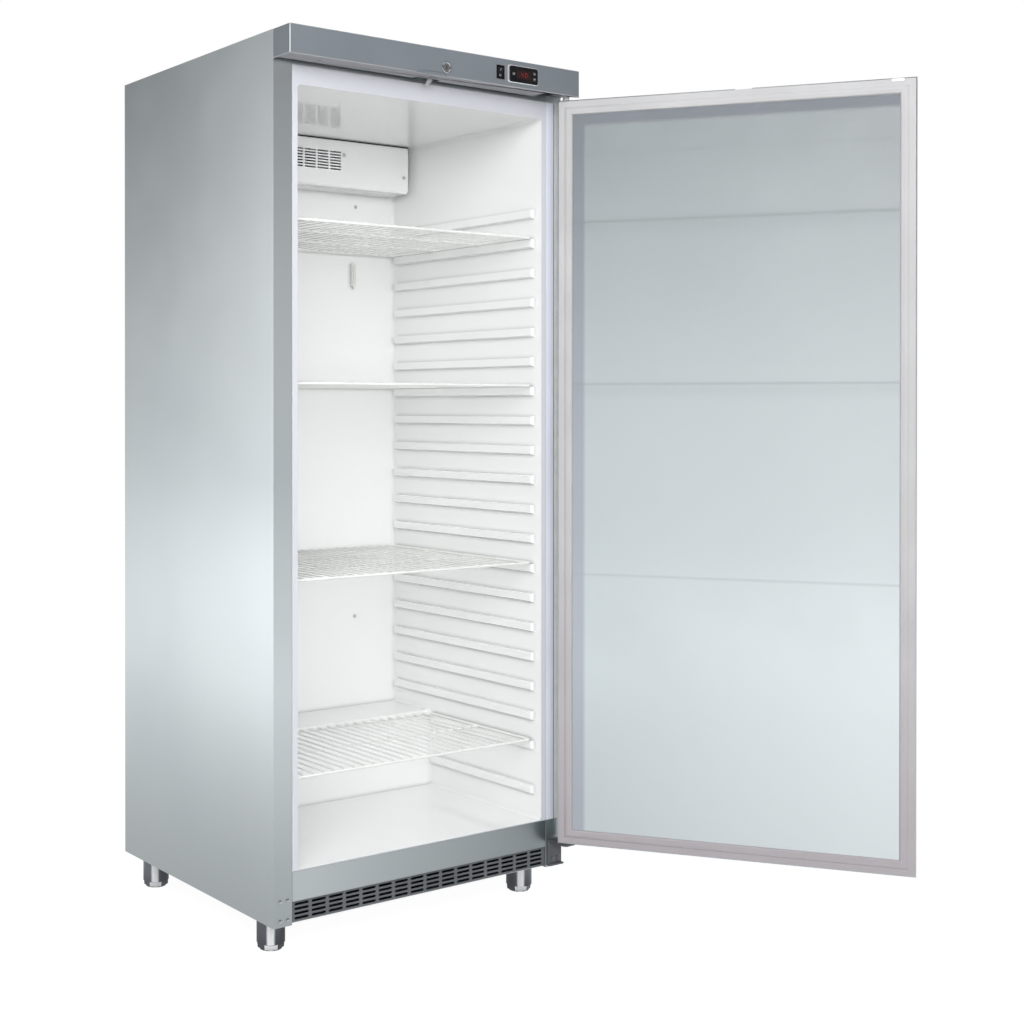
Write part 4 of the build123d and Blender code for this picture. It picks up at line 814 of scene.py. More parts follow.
# %% Seal, rubber and foam
gasket_grey = finish(
    "pale_seal_rubber", (0.485, 0.480, 0.485), (0.445, 0.440, 0.445), 0.0, 0.50,
    skin(800, 8), 0.12, (0.12, 0.0003),
)
tree = gasket_grey.node_tree
# darker toward the bottom
mix_in(tree, product(tree, place_mask(tree, "z", 0.9, 0.15), 0.75), (0.36, 0.32, 0.34))
rubber = finish(
    "black_mount_rubber", (0.018, 0.018, 0.018), (0.04, 0.04, 0.04), 0.0, 0.75,
    dusty(120), 0.1,
)
insulation = finish(
    "cream_foam", (0.78, 0.70, 0.46), (0.68, 0.58, 0.34), 0.0, 0.9,
    skin(300, 18), 0.1, (0.5, 0.001),
)
print("soft:", gasket_grey.name, rubber.name, insulation.name)

# %% [markdown]
# ### The open door's own axis
#
# The door stands open at rest, and the joint's lower limit is the turn that shuts it. So
# the joint in the frame gives both the hinge's place and how far the door is open. From
# these comes the direction from the hinge to the door's free edge.

# %% Where the door hangs and how far it is open
door_joint = next(joint for joint in frame["joints"] if joint["name"] == "door_hinge")
HINGE = Vector((*door_joint["pos_m"][:2], 0))
OPEN = -radians(door_joint["range_deg"][0])
TO_FREE_EDGE = Matrix.Rotation(OPEN, 3, "Z") @ Vector((-1, 0, 0))
AT_HINGE = HINGE.dot(TO_FREE_EDGE)
print("hinge", HINGE, "open", OPEN, "free edge lies along", TO_FREE_EDGE)

# %% [markdown]
# ### The door's inner sheet
#
# The inside of the door is a flat, bright, coated sheet. It mirrors the room softly. The
# foam behind it leaves broad, shallow waves across the sheet. Painted light makes the sheet
# paler toward the free edge, a darker band along the hinge side and the top is a painted
# reflection of the seal, and darker horizontal lines are painted reflections of the shelves and
# the cover inside.

# %% Coated sheet with shallow waves and painted reflections
panel_gloss = finish(
    "bright_coated_sheet", (0.625, 0.685, 0.71), (0.655, 0.715, 0.74), 0.80, 0.20,
    skin(60, 2.0, "Sway"), 0.06, (0.10, 0.006), Coat_Weight=0.3, Coat_Roughness=0.08,
)
tree = panel_gloss.node_tree
way = tuple(TO_FREE_EDGE)
painted_light_to_free_edge = place_mask(tree, way, AT_HINGE + 0.08, AT_HINGE + 0.66)
# painted light: the sheet is paler toward the free edge
mix_in(tree, product(tree, painted_light_to_free_edge, 0.50), (0.88, 0.93, 0.95))
painted_seal_reflection = combine(
    tree, "MAXIMUM",
    place_mask(tree, way, AT_HINGE + 0.052, AT_HINGE + 0.044),
    place_mask(tree, "z", 1.762, 1.772),
)
# painted reflection of the seal: a darker band along the hinge side and the top
mix_in(tree, product(tree, painted_seal_reflection, 0.80), (0.44, 0.47, 0.53))
PAINTED_REFLECTION_LINES = (
    # height, half width, strength
    (1.548, 0.006, 0.30), (1.540, 0.030, 0.14), (1.182, 0.005, 0.30),
    (1.170, 0.026, 0.12), (0.752, 0.005, 0.26), (1.700, 0.004, 0.18),
)
# painted reflections of the shelves and the cover: darker horizontal lines
for at_z, half, strength in PAINTED_REFLECTION_LINES:
    mix_in(tree, line_mask(tree, "z", at_z, half, strength), (0.40, 0.43, 0.45))
print(panel_gloss.name, "has", len(tree.nodes), "nodes")

# %% [markdown]
# ## Finishes on the pieces
#
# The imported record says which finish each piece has. The loop gives every piece its
# material by that list, so nothing is left in a plain default. Six pieces wear the copies
# that were made for them.

# %% One finish for every slot
finish_of = {
    "stainless": stainless, "grey_enamel": grey_enamel, "galvanised": galvanised,
    "insulation": insulation, "white_moulding": white_moulding,
    "grille_grey": grille_grey, "black_plastic": black_plastic,
    "red_window": red_window, "silver_key": silver_key, "bright_metal": bright_metal,
    "cast_tongue": cast_tongue, "hinge_steel": hinge_steel, "panel_gloss": panel_gloss,
    "strike_steel": strike_steel, "gasket_grey": gasket_grey, "white_bush": white_bush,
    "shelf_wire": shelf_wire, "coil_aluminium": coil_aluminium,
    "motor_steel": motor_steel, "black_enamel": black_enamel, "rubber": rubber,
    "copper": copper, "foot_steel": foot_steel,
}
own_finish = {
    "inner_liner": liner_moulding, "header_cover": header_enamel,
    "hinge_pins": pin_steel, "lower_front_panel": front_stainless,
    "side_panel_left": side_stainless, "side_panel_right": side_stainless,
}
slot_of = {part["node"]: part["material_slot"] for part in frame["record"]["subparts"]}
for node, piece in nodes.items():
    piece.data.materials.clear()
    piece.data.materials.append(own_finish.get(node, finish_of[slot_of[node]]))
print("finished", len(slot_of), "pieces in", len(finish_of), "finishes and their copies")

# %% [markdown]
# ## Working on a copy
#
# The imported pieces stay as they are. Where a real edge is rounded, a copy of the piece is
# opened, its loose triangles are joined into whole faces, and the edges that the sheet bender
# or the mould rounds are bevelled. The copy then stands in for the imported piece.


# %% Helpers: open, choose and close a piece
def put_down():
    """Leave edit mode with nothing selected."""
    if bpy.context.object and bpy.context.object.mode != "OBJECT":
        bpy.ops.object.mode_set(mode="OBJECT")
    bpy.ops.object.select_all(action="DESELECT")


def hold(piece):
    """Leave edit mode with one piece selected and active."""
    put_down()
    piece.select_set(True)
    bpy.context.view_layer.objects.active = piece


def pick_up(piece, kind="VERT", select="DESELECT"):
    """Open one piece in edit mode, with nothing in it selected or, by "SELECT", all."""
    hold(piece)
    bpy.ops.object.mode_set(mode="EDIT")
    bpy.ops.mesh.select_mode(type=kind)
    bpy.ops.mesh.select_all(action=select)


def choose(piece, kind, test):
    """Select the "verts", "edges" or "faces" of the open piece that pass a test."""
    mesh = bmesh.from_edit_mesh(piece.data)
    mesh.normal_update()
    found = [item for item in getattr(mesh, kind) if test(item)]
    for item in found:
        item.select_set(True)
    mesh.select_flush_mode()
    bmesh.update_edit_mesh(piece.data)
    return len(found)


# %% Helpers: settle a piece, turn its faces outward, round its edges
def settle():
    """Apply the place, the turn and the size of the piece in hand."""
    bpy.ops.object.transform_apply(location=True, rotation=True, scale=True)


def face_outward():
    """Make every face of the open piece look outward."""
    bpy.ops.mesh.select_all(action="SELECT")
    bpy.ops.mesh.normals_make_consistent(inside=False)


def bevel(radius, segments, affect="EDGES"):
    """Round the chosen edges or corners of the open piece."""
    bpy.ops.mesh.bevel(
        offset=radius, offset_type="OFFSET", segments=segments, profile=0.5,
        affect=affect, clamp_overlap=False,
    )


# %% Helpers: apply a modifier, shade, stand in for a node
def apply_modifier(piece, kind, **settings):
    """Give a piece a modifier with its settings, and keep the result."""
    hold(piece)
    modifier = piece.modifiers.new(kind.lower(), kind)
    for label, value in settings.items():
        setattr(modifier, label, value)
    bpy.ops.object.modifier_apply(modifier=modifier.name)


def round_smoothly(piece, degrees=32):
    """Smooth shading up to an angle, with large faces kept flat."""
    hold(piece)
    bpy.ops.object.shade_smooth_by_angle(angle=radians(degrees))
    apply_modifier(piece, "WEIGHTED_NORMAL", keep_sharp=True, weight=100)
    put_down()


def stand_in(piece, node):
    """The piece rides where the node rides, wears its finish and hides it."""
    put_down()
    piece.data.materials.clear()
    piece.data.materials.append(nodes[node].data.materials[0])
    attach(piece, nodes[node]["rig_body"])
    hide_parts(node)


# %% Helpers: a flat outline to start from, a wall, and a finish for a new piece
def flat_outline(name, corners, size, place, spin=0.0):
    """A filled outline of so many corners that faces forward, at its size and place."""
    put_down()
    if corners == 4:
        bpy.ops.mesh.primitive_plane_add(size=1, location=place, rotation=(pi / 2, 0, 0))
    else:
        bpy.ops.mesh.primitive_circle_add(
            vertices=corners, radius=0.5, fill_type="NGON", location=place,
            rotation=(pi / 2, spin, 0),
        )
    piece = bpy.context.object
    piece.name = name
    bpy.ops.transform.resize(value=(size[0], 1, size[1]))
    settle()
    return piece


def give_wall(piece, thickness, offset=1):
    """Turn an open sheet into a wall of a thickness."""
    apply_modifier(piece, "SOLIDIFY", thickness=thickness, offset=offset)


def dress(piece, body, slot_name, material=None):
    """A new piece rides on a body in the finish of a slot."""
    put_down()
    piece.data.materials.clear()
    piece.data.materials.append(material or finish_of[slot_name])
    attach(piece, body)
    print(piece.name, "on", body, len(piece.data.polygons), "faces")


# %% A helper that lifts a copy
def lift_copy(node, name):
    """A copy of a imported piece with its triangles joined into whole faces."""
    hold(nodes[node])
    bpy.ops.object.duplicate()
    piece = bpy.context.object
    piece.name = name
    piece.data.name = name
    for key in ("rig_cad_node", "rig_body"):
        if key in piece:
            del piece[key]
    bpy.ops.object.parent_clear(type="CLEAR_KEEP_TRANSFORM")
    bpy.ops.mesh.customdata_custom_splitnormals_clear()
    pick_up(piece, select="SELECT")
    bpy.ops.mesh.remove_doubles(threshold=2e-5)
    bpy.ops.mesh.dissolve_limited(angle_limit=radians(0.4))
    bpy.ops.mesh.select_all(action="DESELECT")
    return piece


# %% Helpers: describe an edge
def run_of(edge):
    """Which axis an edge runs along ("x", "y", "z" or ""), its length and its middle."""
    a, b = (v.co for v in edge.verts)
    span = b - a
    size = span.length
    axis = ""
    for i, label in enumerate("xyz"):
        if size and abs(span[i]) > 0.999 * size:
            axis = label
    return axis, size, (a + b) / 2


def outer_corner(edge, least=40):
    """True where two faces meet in an outward corner of at least so many degrees."""
    return (
        len(edge.link_faces) == 2
        and edge.is_convex
        and edge.calc_face_angle(0) > radians(least)
    )


def near(value, *targets, by=2e-4):
    """True where a value is at one of the targets."""
    return any(abs(value - t) < by for t in targets)


# %% A helper that softens the edges of a piece
def soften(node, name, radius, test, segments=3):
    """A stand-in for a node whose chosen edges are rounded."""
    piece = lift_copy(node, name)
    pick_up(piece, "EDGE")
    count = choose(piece, "edges", test)
    if count:
        bevel(radius, segments)
    round_smoothly(piece)
    stand_in(piece, node)
    faces = len(piece.data.polygons)
    print(name, "rounds", count, "edges by", radius * 1000, "mm;", faces, "faces")


# %% [markdown]
# ### Bent sheet
#
# A press brake can't fold steel to a knife edge: the outside of every bend has a radius of
# about the sheet's thickness or more. On satin steel that narrow curve catches a line of
# light from top to bottom, and it is what separates the post from the side.

# %% Side panels
SIDE_X = 0.3885  # the outer face of a side
POST_X = 0.3435  # the inner edge of a post
SIDE_BEND = 0.0014
for node, sign in (("side_panel_left", -1), ("side_panel_right", 1)):
    low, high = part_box(node)
    edge_x = [sign * SIDE_X, sign * POST_X]

    def bend(edge, edge_x=edge_x, front=low.y, back=high.y):
        """True for the upright bends of a side panel and its post."""
        axis, size, middle = run_of(edge)
        return (
            axis == "z" and size > 0.05
            and near(middle.x, *edge_x)
            and near(middle.y, front, back)
            and outer_corner(edge)
        )

    soften(node, node + "_sheet", SIDE_BEND, bend)

# %% The lower front panel
FRONT_BEND = 0.0012
low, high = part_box("lower_front_panel")
soften(
    "lower_front_panel", "lower_front_sheet", FRONT_BEND,
    lambda e: run_of(e)[0] in "xz" and near(run_of(e)[2].y, low.y) and outer_corner(e),
)

# %% [markdown]
# ### The header
#
# The header is one folded cover, enamelled after bending. Its long front edges and its two
# ends are rounded by 1.8 mm, so the enamel shows a soft line along the top.

# %% Header cover with rounded folds
HEADER_ROUND = 0.0018
low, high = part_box("header_cover")


def header_fold(edge, low=low, high=high):
    """True for the header's long front folds and the folds at its two ends."""
    axis, size, middle = run_of(edge)
    if not outer_corner(edge) or size < 0.012:
        return False
    front = near(middle.y, low.y)
    if axis == "x":
        return front and near(middle.z, low.z, high.z)
    if axis == "z":
        return front and near(middle.x, low.x, high.x)
    return axis == "y" and near(middle.z, high.z) and near(middle.x, low.x, high.x)


soften("header_cover", "folded_header", HEADER_ROUND, header_fold, segments=4)

# %% [markdown]
# ### The door shell
#
# The door's outer sheet is folded round all four sides into a pan. The fold nearest the
# seal is the one that shows when the door stands open.

# %% Door pan with rounded folds
CLOSED_X = 0.3855  # the shut pan's two sides
CLOSED_Z = (0.137, 1.826)  # its lower and its upper edge
PAN_BEND = 0.0016


def as_closed(point):
    """Where a point of the open door lies when the door is shut."""
    return Matrix.Rotation(-OPEN, 3, "Z") @ (point - HINGE) + HINGE


def pan_fold(edge):
    """True for the folds round the door's outer sheet."""
    if not outer_corner(edge, 60):
        return False
    a, b = (as_closed(v.co) for v in edge.verts)
    span, middle = b - a, (a + b) / 2
    if span.length < 0.02 or abs(span.y) > 1e-4:
        return False
    return near(abs(middle.x), CLOSED_X) or near(middle.z, *CLOSED_Z)


soften("door_outer_skin", "door_pan", PAN_BEND, pan_fold)

# %% [markdown]
# ### The door seal
#
# A refrigerator seal is an extruded rubber profile: a magnet in a soft bellows towards the
# cabinet, a groove, and a small inner lip that closes the gap. Four lengths are welded at
# mitred corners. An inset makes exactly such mitres, so the seal starts as one plane, and
# every inset followed by a move draws the next step of the profile on all four sides at
# once. The open middle is then removed and the back is bridged shut.


# %% A helper that draws a profile by insets
def draw_profile(piece, steps, way):
    """Draw (inward, outward) steps round the chosen faces, then close the ring's back."""
    for inward, outward in steps:
        bpy.ops.mesh.inset(thickness=inward, depth=0)
        if outward:
            bpy.ops.transform.translate(value=(0, way * outward, 0))
    bpy.ops.mesh.delete(type="FACE")
    bpy.ops.mesh.select_mode(type="EDGE")
    choose(piece, "edges", lambda e: e.is_boundary)
    bpy.ops.mesh.bridge_edge_loops()
    face_outward()


# %% Helpers: a mitred frame, and the swing of the door
def mitred_frame(name, half_width, low_z, high_z, base_y, profile):
    """A closed frame, facing the shut door's back."""
    put_down()
    bpy.ops.mesh.primitive_plane_add(
        size=1, location=(0, base_y, (low_z + high_z) / 2), rotation=(-pi / 2, 0, 0)
    )
    piece = bpy.context.object
    piece.name = name
    bpy.ops.transform.resize(value=(2 * half_width, 1, high_z - low_z))
    settle()
    pick_up(piece, "FACE", "SELECT")
    draw_profile(piece, profile, 1)
    return piece


def swing_open(piece):
    """Turn a piece made on the shut door to where the door stands open."""
    hold(piece)
    bpy.ops.transform.rotate(value=-OPEN, orient_axis="Z", center_override=HINGE)
    settle()


# %% Seal: bellows, groove and inner lip
mm = 0.001
SEAL_PROFILE = [
    (0.6 * mm, 0.5 * mm), (1.2 * mm, 1.0 * mm), (2.0 * mm, 1.0 * mm),
    (2.6 * mm, 0.6 * mm), (2.6 * mm, 0.1 * mm), (1.4 * mm, -0.5 * mm),
    (0.6 * mm, -0.3 * mm), (0.6 * mm, 0.3 * mm), (2.0 * mm, 0.2 * mm),
    (1.8 * mm, -0.6 * mm), (1.4 * mm, -1.4 * mm), (1.2 * mm, -2.4 * mm),
]
seal = mitred_frame("folded_seal", 0.3695, 0.153, 1.810, -0.3468, SEAL_PROFILE)
swing_open(seal)
round_smoothly(seal, 50)
stand_in(seal, "door_gasket")
print("seal has", len(seal.data.polygons), "faces")

# %% [markdown]
# ### The door's edge frame
#
# Between the steel pan and the seal lies a flat, pale extrusion. It covers the raw edges of
# both door sheets and holds the root of the seal. It is made by the same insets.

# %% Pale frame round the seal
FRAME_PROFILE = [
    (0.5 * mm, 0.9 * mm), (0.8 * mm, 0.3 * mm), (5.2 * mm, 0),
    (0.5 * mm, -0.1 * mm), (0.5 * mm, 0.1 * mm), (8.0 * mm, 0),
]
edge_frame = mitred_frame("door_edge_frame", 0.3834, 0.1391, 1.8239, -0.348, FRAME_PROFILE)
swing_open(edge_frame)
round_smoothly(edge_frame, 50)
edge_frame.data.materials.append(gasket_grey)
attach(edge_frame, "door")
print("edge frame", len(edge_frame.data.polygons), "faces")

# %% [markdown]
# ### The plug in the door's top edge
#
# The foam is poured into the door through a hole in its top edge near the free side. A
# small white plug closes the hole.

# %% White plug near the free edge
PLUG_SIZE = (0.026, 0.0062)
PLUG_PLACE = (-0.3470, -0.34685, 1.8215)  # on the shut door
PLUG_CORNER = 0.0016
PLUG_DEPTH = 0.0022
PLUG_RIM = 0.0004
plug = flat_outline("door_fill_plug", 4, PLUG_SIZE, PLUG_PLACE)
pick_up(plug, "VERT", "SELECT")
bevel(PLUG_CORNER, 4, "VERTICES")
give_wall(plug, PLUG_DEPTH, offset=0)
apply_modifier(plug, "BEVEL", width=PLUG_RIM, segments=2)
swing_open(plug)
round_smoothly(plug)
dress(plug, "door", "white_bush")

# %% [markdown]
# ### Mouldings, castings and turned parts
#
# Small parts show their make by their edges: a moulded bezel has soft ones, a turned ring a
# fine chamfer, a cast tongue a blunt rim. Every outward corner of these pieces is rounded.

# %% Small parts with soft edges
SHORTEST_EDGE = 0.0006


def soften_all(parts):
    """Round the outward corners of small (node, name, radius, least angle) parts."""
    for node, name, radius, least in parts:
        soften(
            node, name, radius,
            lambda e, least=least: outer_corner(e, least) and run_of(e)[1] > SHORTEST_EDGE,
            segments=2,
        )


soften_all((
    ("controller_housing", "controller_bezel", 0.0006, 40),
    ("switch_bezel", "switch_surround", 0.0004, 40),
    ("switch_rocker", "rocker_cap", 0.0005, 25),
    ("button_set", "set_key", 0.0003, 25),
    ("button_up", "up_key", 0.0003, 25),
    ("button_down", "down_key", 0.0003, 25),
    ("upper_hinge_bracket", "upper_hinge_plate", 0.0006, 40),
    ("lower_hinge_bracket", "lower_hinge_plate", 0.0006, 40),
    ("lock_cam", "lock_tongue", 0.0006, 50),
    ("door_strike", "strike_plate", 0.0003, 50),
))

# %% [markdown]
# ### The evaporator cover
#
# The cover inside the cold space is folded from thick white sheet. Its lower edge is a
# generous curve, so nothing catches on it when a tray is pushed in. The sheet's inner
# corner is rounded too, by the radius that is left after its thickness.

# %% Cover with a rounded lower edge
COVER_SHEET = 0.0025
COVER_RADIUS = 0.007
cover_low, cover_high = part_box("evaporator_cover")
cover = lift_copy("evaporator_cover", "folded_cover")
for inset_by, radius in ((0, COVER_RADIUS), (COVER_SHEET, COVER_RADIUS - COVER_SHEET)):
    pick_up(cover, "EDGE")
    found = choose(
        cover, "edges",
        lambda e, t=inset_by: run_of(e)[0] == "x"
        and run_of(e)[1] > 0.3
        and near(run_of(e)[2].y, cover_low.y + t)
        and near(run_of(e)[2].z, cover_low.z + t),
    )
    if found:
        bevel(radius, 5)
    print("cover fold", found, "edge at", radius)
round_smoothly(cover)
stand_in(cover, "evaporator_cover")

# %% [markdown]
# ### The dark strip over the cover
#
# A dark strip along the gap between the cover and the ceiling is painted shade: it stands
# for the shadow in that gap and shows as a thin dark line. A cube is enough to start from,
# and its front edge is rounded.

# %% Dark strip of painted shade along the ceiling
STRIP_DEPTH = 0.0016
STRIP_HEIGHT = 0.0030
STRIP_ROUND = 0.0007
put_down()
bpy.ops.mesh.primitive_cube_add(
    size=1,
    location=(0, cover_low.y - 0.0006, cover_high.z - 0.0016),
    scale=(cover_high.x - cover_low.x, STRIP_DEPTH, STRIP_HEIGHT),
)
strip = bpy.context.object
strip.name = "cover_sealing_strip"
settle()
pick_up(strip, "EDGE")
choose(
    strip, "edges",
    lambda e: run_of(e)[0] == "x" and run_of(e)[2].y < cover_low.y - STRIP_DEPTH / 2,
)
bevel(STRIP_ROUND, 3)
round_smoothly(strip)
# painted shade: a dark strip where the gap shows only shadow
strip.data.materials.append(rubber)
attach(strip, "cabinet")
print("strip", len(strip.data.polygons), "faces")

# %% [markdown]
# ### The lock
#
# A cam lock shows a turned, plated ring round its barrel. The ring is crowned, so it
# catches the light as a thin bright circle. A round disc takes the same inset and move
# steps as the seal: each step is one more circle of the turned profile.


# %% A turned ring drawn by insets
def turned_ring(name, radius, place, profile, corners=48):
    """A closed ring that faces forward; profile is (inward, forward) steps."""
    ring = flat_outline(name, corners, (2 * radius, 2 * radius), place)
    pick_up(ring, "FACE", "SELECT")
    draw_profile(ring, profile, -1)
    round_smoothly(ring, 40)
    return ring


# %% Crowned ring on the lock
CROWN_RADIUS = 0.0129
CROWN_PROFILE = [
    (0.2 * mm, 0.5 * mm), (0.5 * mm, 0.4 * mm), (0.8 * mm, 0.2 * mm),
    (1.0 * mm, 0), (0.7 * mm, -0.3 * mm), (0.8 * mm, -0.6 * mm),
]
lock_low, lock_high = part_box("lock_housing")
lock_z = (lock_low.z + lock_high.z) / 2
lock_x = sum(corner.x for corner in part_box("lock_barrel")) / 2
crown = turned_ring(
    "lock_crown", CROWN_RADIUS, (lock_x, lock_low.y + 0.0002, lock_z), CROWN_PROFILE
)
dress(crown, "cabinet", "bright_metal")

# %% [markdown]
# ### Feet
#
# The feet are turned from bright bar and have a six sided base for the spanner. They screw
# into rolled leg tubes. Rounding their rims gives the small highlights of turned metal.

# %% Feet and leg tubes
CORNERS = ("front_left", "front_right", "rear_left", "rear_right")
soften_all([("foot_" + at, "turned_foot_" + at, 0.0008, 25) for at in CORNERS])
soften_all([("leg_tubes", "rolled_leg_tubes", 0.0006, 50)])

# %% [markdown]
# ### Spanner flats
#
# The six flats at the bottom of a foot stand upright, and a foot stops turning wherever the
# cabinet is level. Here one flat faces forward and to the left. The base is turned by a
# twelfth of a turn, and its lower corners are moved out until the flats are nearly upright.


# %% Turn the six sided bases
BASE_TOP = 0.0142
BASE_LOWER_CORNERS = 0.0045
STEM_RADIUS = 0.020
WIDER = 1.12


def in_base(vert, middle, below):
    """True for a vertex of the base at no more than a height."""
    out = (vert.co.xy - middle.xy).length
    return vert.co.z < below and out > STEM_RADIUS


for corner_name in CORNERS:
    low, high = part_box("foot_" + corner_name)
    middle = (low + high) / 2
    centre = (middle.x, middle.y, 0)
    piece = bpy.data.objects["turned_foot_" + corner_name]
    pick_up(piece)
    count = choose(piece, "verts", lambda v, m=middle: in_base(v, m, BASE_TOP))
    bpy.ops.transform.rotate(value=radians(30), orient_axis="Z", center_override=centre)
    bpy.ops.mesh.select_all(action="DESELECT")
    lower = choose(piece, "verts", lambda v, m=middle: in_base(v, m, BASE_LOWER_CORNERS))
    bpy.ops.transform.resize(value=(WIDER, WIDER, 1), center_override=centre)
    put_down()
    print(piece.name, "turns", count, "corners and widens", lower)

# %% [markdown]
# ### The plate behind the cam notch
#
# The header's lower edge has a shallow notch where the lock's tongue swings. A small folded
# plate behind it closes the view into the header. It is a strip whose lower edge is turned
# back, so it starts as a plane, its lower edge is extruded, and a wall gives it thickness.

# %% Notch plate
PLATE_SIZE = (0.098, 0.0104)
PLATE_LIP = 0.010
PLATE_SHEET = 0.0008
notch_plate = flat_outline(
    "cam_notch_plate", 4, PLATE_SIZE,
    (lock_x - 0.040, header_low.y + 0.0016, header_low.z + 0.0062),
)
pick_up(notch_plate, "EDGE")
choose(
    notch_plate, "edges",
    lambda e: run_of(e)[0] == "x" and run_of(e)[2].z < header_low.z + 0.002,
)
bpy.ops.mesh.extrude_region_move(TRANSFORM_OT_translate={"value": (0, PLATE_LIP, 0)})
give_wall(notch_plate, PLATE_SHEET, offset=-1)
round_smoothly(notch_plate)
dress(notch_plate, "cabinet", "grey_enamel")

# %% [markdown]
# ### The strip on the hinge post
#
# On the hinge side a pale extrusion covers the steel post, so that the seal closes on
# plastic and cold doesn't travel along the metal. It has a shallow step along its length.
# The strip is pale plastic, and its two rails are painted lighter still, as painted light
# against the open door's shadow; the dark bead in the step is a painted shadow line.

# %% Pale strip with a step, painted light on its rails and a painted shadow line
post_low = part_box("lower_front_panel")[0]
RAIL_EDGE = 0.0004


def post_rail(name, from_x, to_x, proud, material, slot_name):
    """One upright rail of the hinge post's strip."""
    rail = flat_outline(
        name, 4, (to_x - from_x, liner_high.z - liner_low.z),
        ((from_x + to_x) / 2, post_low.y - 0.0001, (liner_low.z + liner_high.z) / 2),
    )
    pick_up(rail, "FACE", "SELECT")
    half_out = (0, -proud / 2, 0)
    bpy.ops.mesh.extrude_region_move(TRANSFORM_OT_translate={"value": half_out})
    bpy.ops.mesh.inset(thickness=RAIL_EDGE, depth=0)
    bpy.ops.transform.translate(value=half_out)
    bpy.ops.mesh.select_mode(type="EDGE")
    bpy.ops.mesh.select_all(action="DESELECT")
    choose(rail, "edges", lambda e: e.is_boundary)
    bpy.ops.mesh.edge_face_add()
    face_outward()
    round_smoothly(rail)
    dress(rail, "cabinet", slot_name, material)


# painted light: the inner rail is pale plastic lightened against the door's shadow
post_rail("post_rail_inner", 0.3440, 0.3662, 0.0009, post_plastic, "gasket_grey")
# painted shadow line: the dark bead in the step
post_rail("post_bead", 0.3662, 0.3684, 0.0004, motor_steel, "rubber")
# painted light: the outer rail is white against the door's shadow
post_rail("post_rail_outer", 0.3684, 0.3866, 0.0009, white_bush, "white_bush")

# %% [markdown]
# ### The controller's rim
#
# A thin plated rim runs round the controller's black housing. It is an outline with round
# corners, so it starts as a plane whose corners are bevelled, and insets give its section.

# %% Plated rim round the controller
rim_plate = finish(
    "white_chrome_rim", (0.95, 0.95, 0.96), (0.90, 0.90, 0.92), 0.7, 0.16,
    grained(400, 1.0), 0.06,
)
RIM_WIDTH = 0.0880
RIM_TALLER = 0.0036  # than the housing
RIM_CORNER = 0.0062
RIM_PROFILE = [
    (0.3 * mm, 1.6 * mm), (0.7 * mm, 0.6 * mm), (1.0 * mm, 0.1 * mm),
    (0.7 * mm, -0.3 * mm), (0.3 * mm, -0.6 * mm),
]
housing_low, housing_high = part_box("controller_housing")
rim = flat_outline(
    "controller_rim", 4, (RIM_WIDTH, housing_high.z - housing_low.z + RIM_TALLER),
    ((housing_low.x + housing_high.x) / 2 - 0.0025, header_low.y - 0.0001,
     (housing_low.z + housing_high.z) / 2),
)
pick_up(rim, "VERT", "SELECT")
bevel(RIM_CORNER, 6, "VERTICES")
bpy.ops.mesh.select_mode(type="FACE")
bpy.ops.mesh.select_all(action="SELECT")
draw_profile(rim, RIM_PROFILE, -1)
round_smoothly(rim, 50)
dress(rim, "cabinet", "bright_metal", rim_plate)

# %% [markdown]
# ### Domed screw heads
#
# A pan head is a shallow dome. One dome is made from a disc by insets, each a little further
# out, and copied to every screw that shows on the front.


# %% A helper that copies a piece to many places
def copies_at(first, name, placements):
    """Copies of a piece at (place, turn) pairs, joined as one in place of the first."""
    copies = []
    for place, turn in placements:
        hold(first)
        bpy.ops.object.duplicate()
        copy = bpy.context.object
        copy.location = place
        copy.rotation_euler = turn
        copies.append(copy)
    put_down()
    bpy.data.objects.remove(first)
    for copy in copies:
        copy.select_set(True)
    bpy.context.view_layer.objects.active = copies[0]
    bpy.ops.object.join()
    group = bpy.context.object
    group.name = name
    settle()
    return group


# %% A helper that makes domed heads
DOME_STEPS = ((0.14, 0.34), (0.20, 0.28), (0.26, 0.22), (0.26, 0.16))


def domed_head(name, radius, height, places, slot_name, corners=20):
    """Domes of one size at several (x, y, z) places, joined as one piece."""
    first = flat_outline(name, corners, (2 * radius, 2 * radius), (0, 0, 0))
    pick_up(first, "FACE", "SELECT")
    for share, rise in DOME_STEPS:
        bpy.ops.mesh.inset(thickness=share * radius, depth=0)
        bpy.ops.transform.translate(value=(0, -rise * height, 0))
    pick_up(first, "EDGE")
    bpy.ops.mesh.select_non_manifold()
    bpy.ops.mesh.edge_face_add()
    face_outward()
    round_smoothly(first, 60)
    group = copies_at(first, name, [(place, (0, 0, 0)) for place in places])
    dress(group, "cabinet", slot_name)


# %% Domes on the front screws
POST_FRONT_Y = -0.3397
BRACKET_FRONT_Y = -0.3454
left_x, right_x = header_low.x, header_high.x
plate_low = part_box("lower_hinge_bracket")[0]
domed_head(
    "post_screw_domes", 0.0041, 0.0016,
    [
        (left_x + away, POST_FRONT_Y, high)
        for away in (0.0165, 0.0345)
        for high in (post_low.z + 0.005, plate_low.z + 0.008)
    ],
    "bright_metal",
)
domed_head(
    "bracket_bolt_domes", 0.0054, 0.0022,
    [(right_x - away, BRACKET_FRONT_Y, plate_low.z + 0.014) for away in (0.0275, 0.0115)],
    "hinge_steel",
)

# %% [markdown]
# ### Marks on the switch and the keys
#
# The rocker carries the usual bar and ring, two keys carry a small arrow and the third a
# ring. They are printed in white, a film of paint a tenth of a millimetre thick.

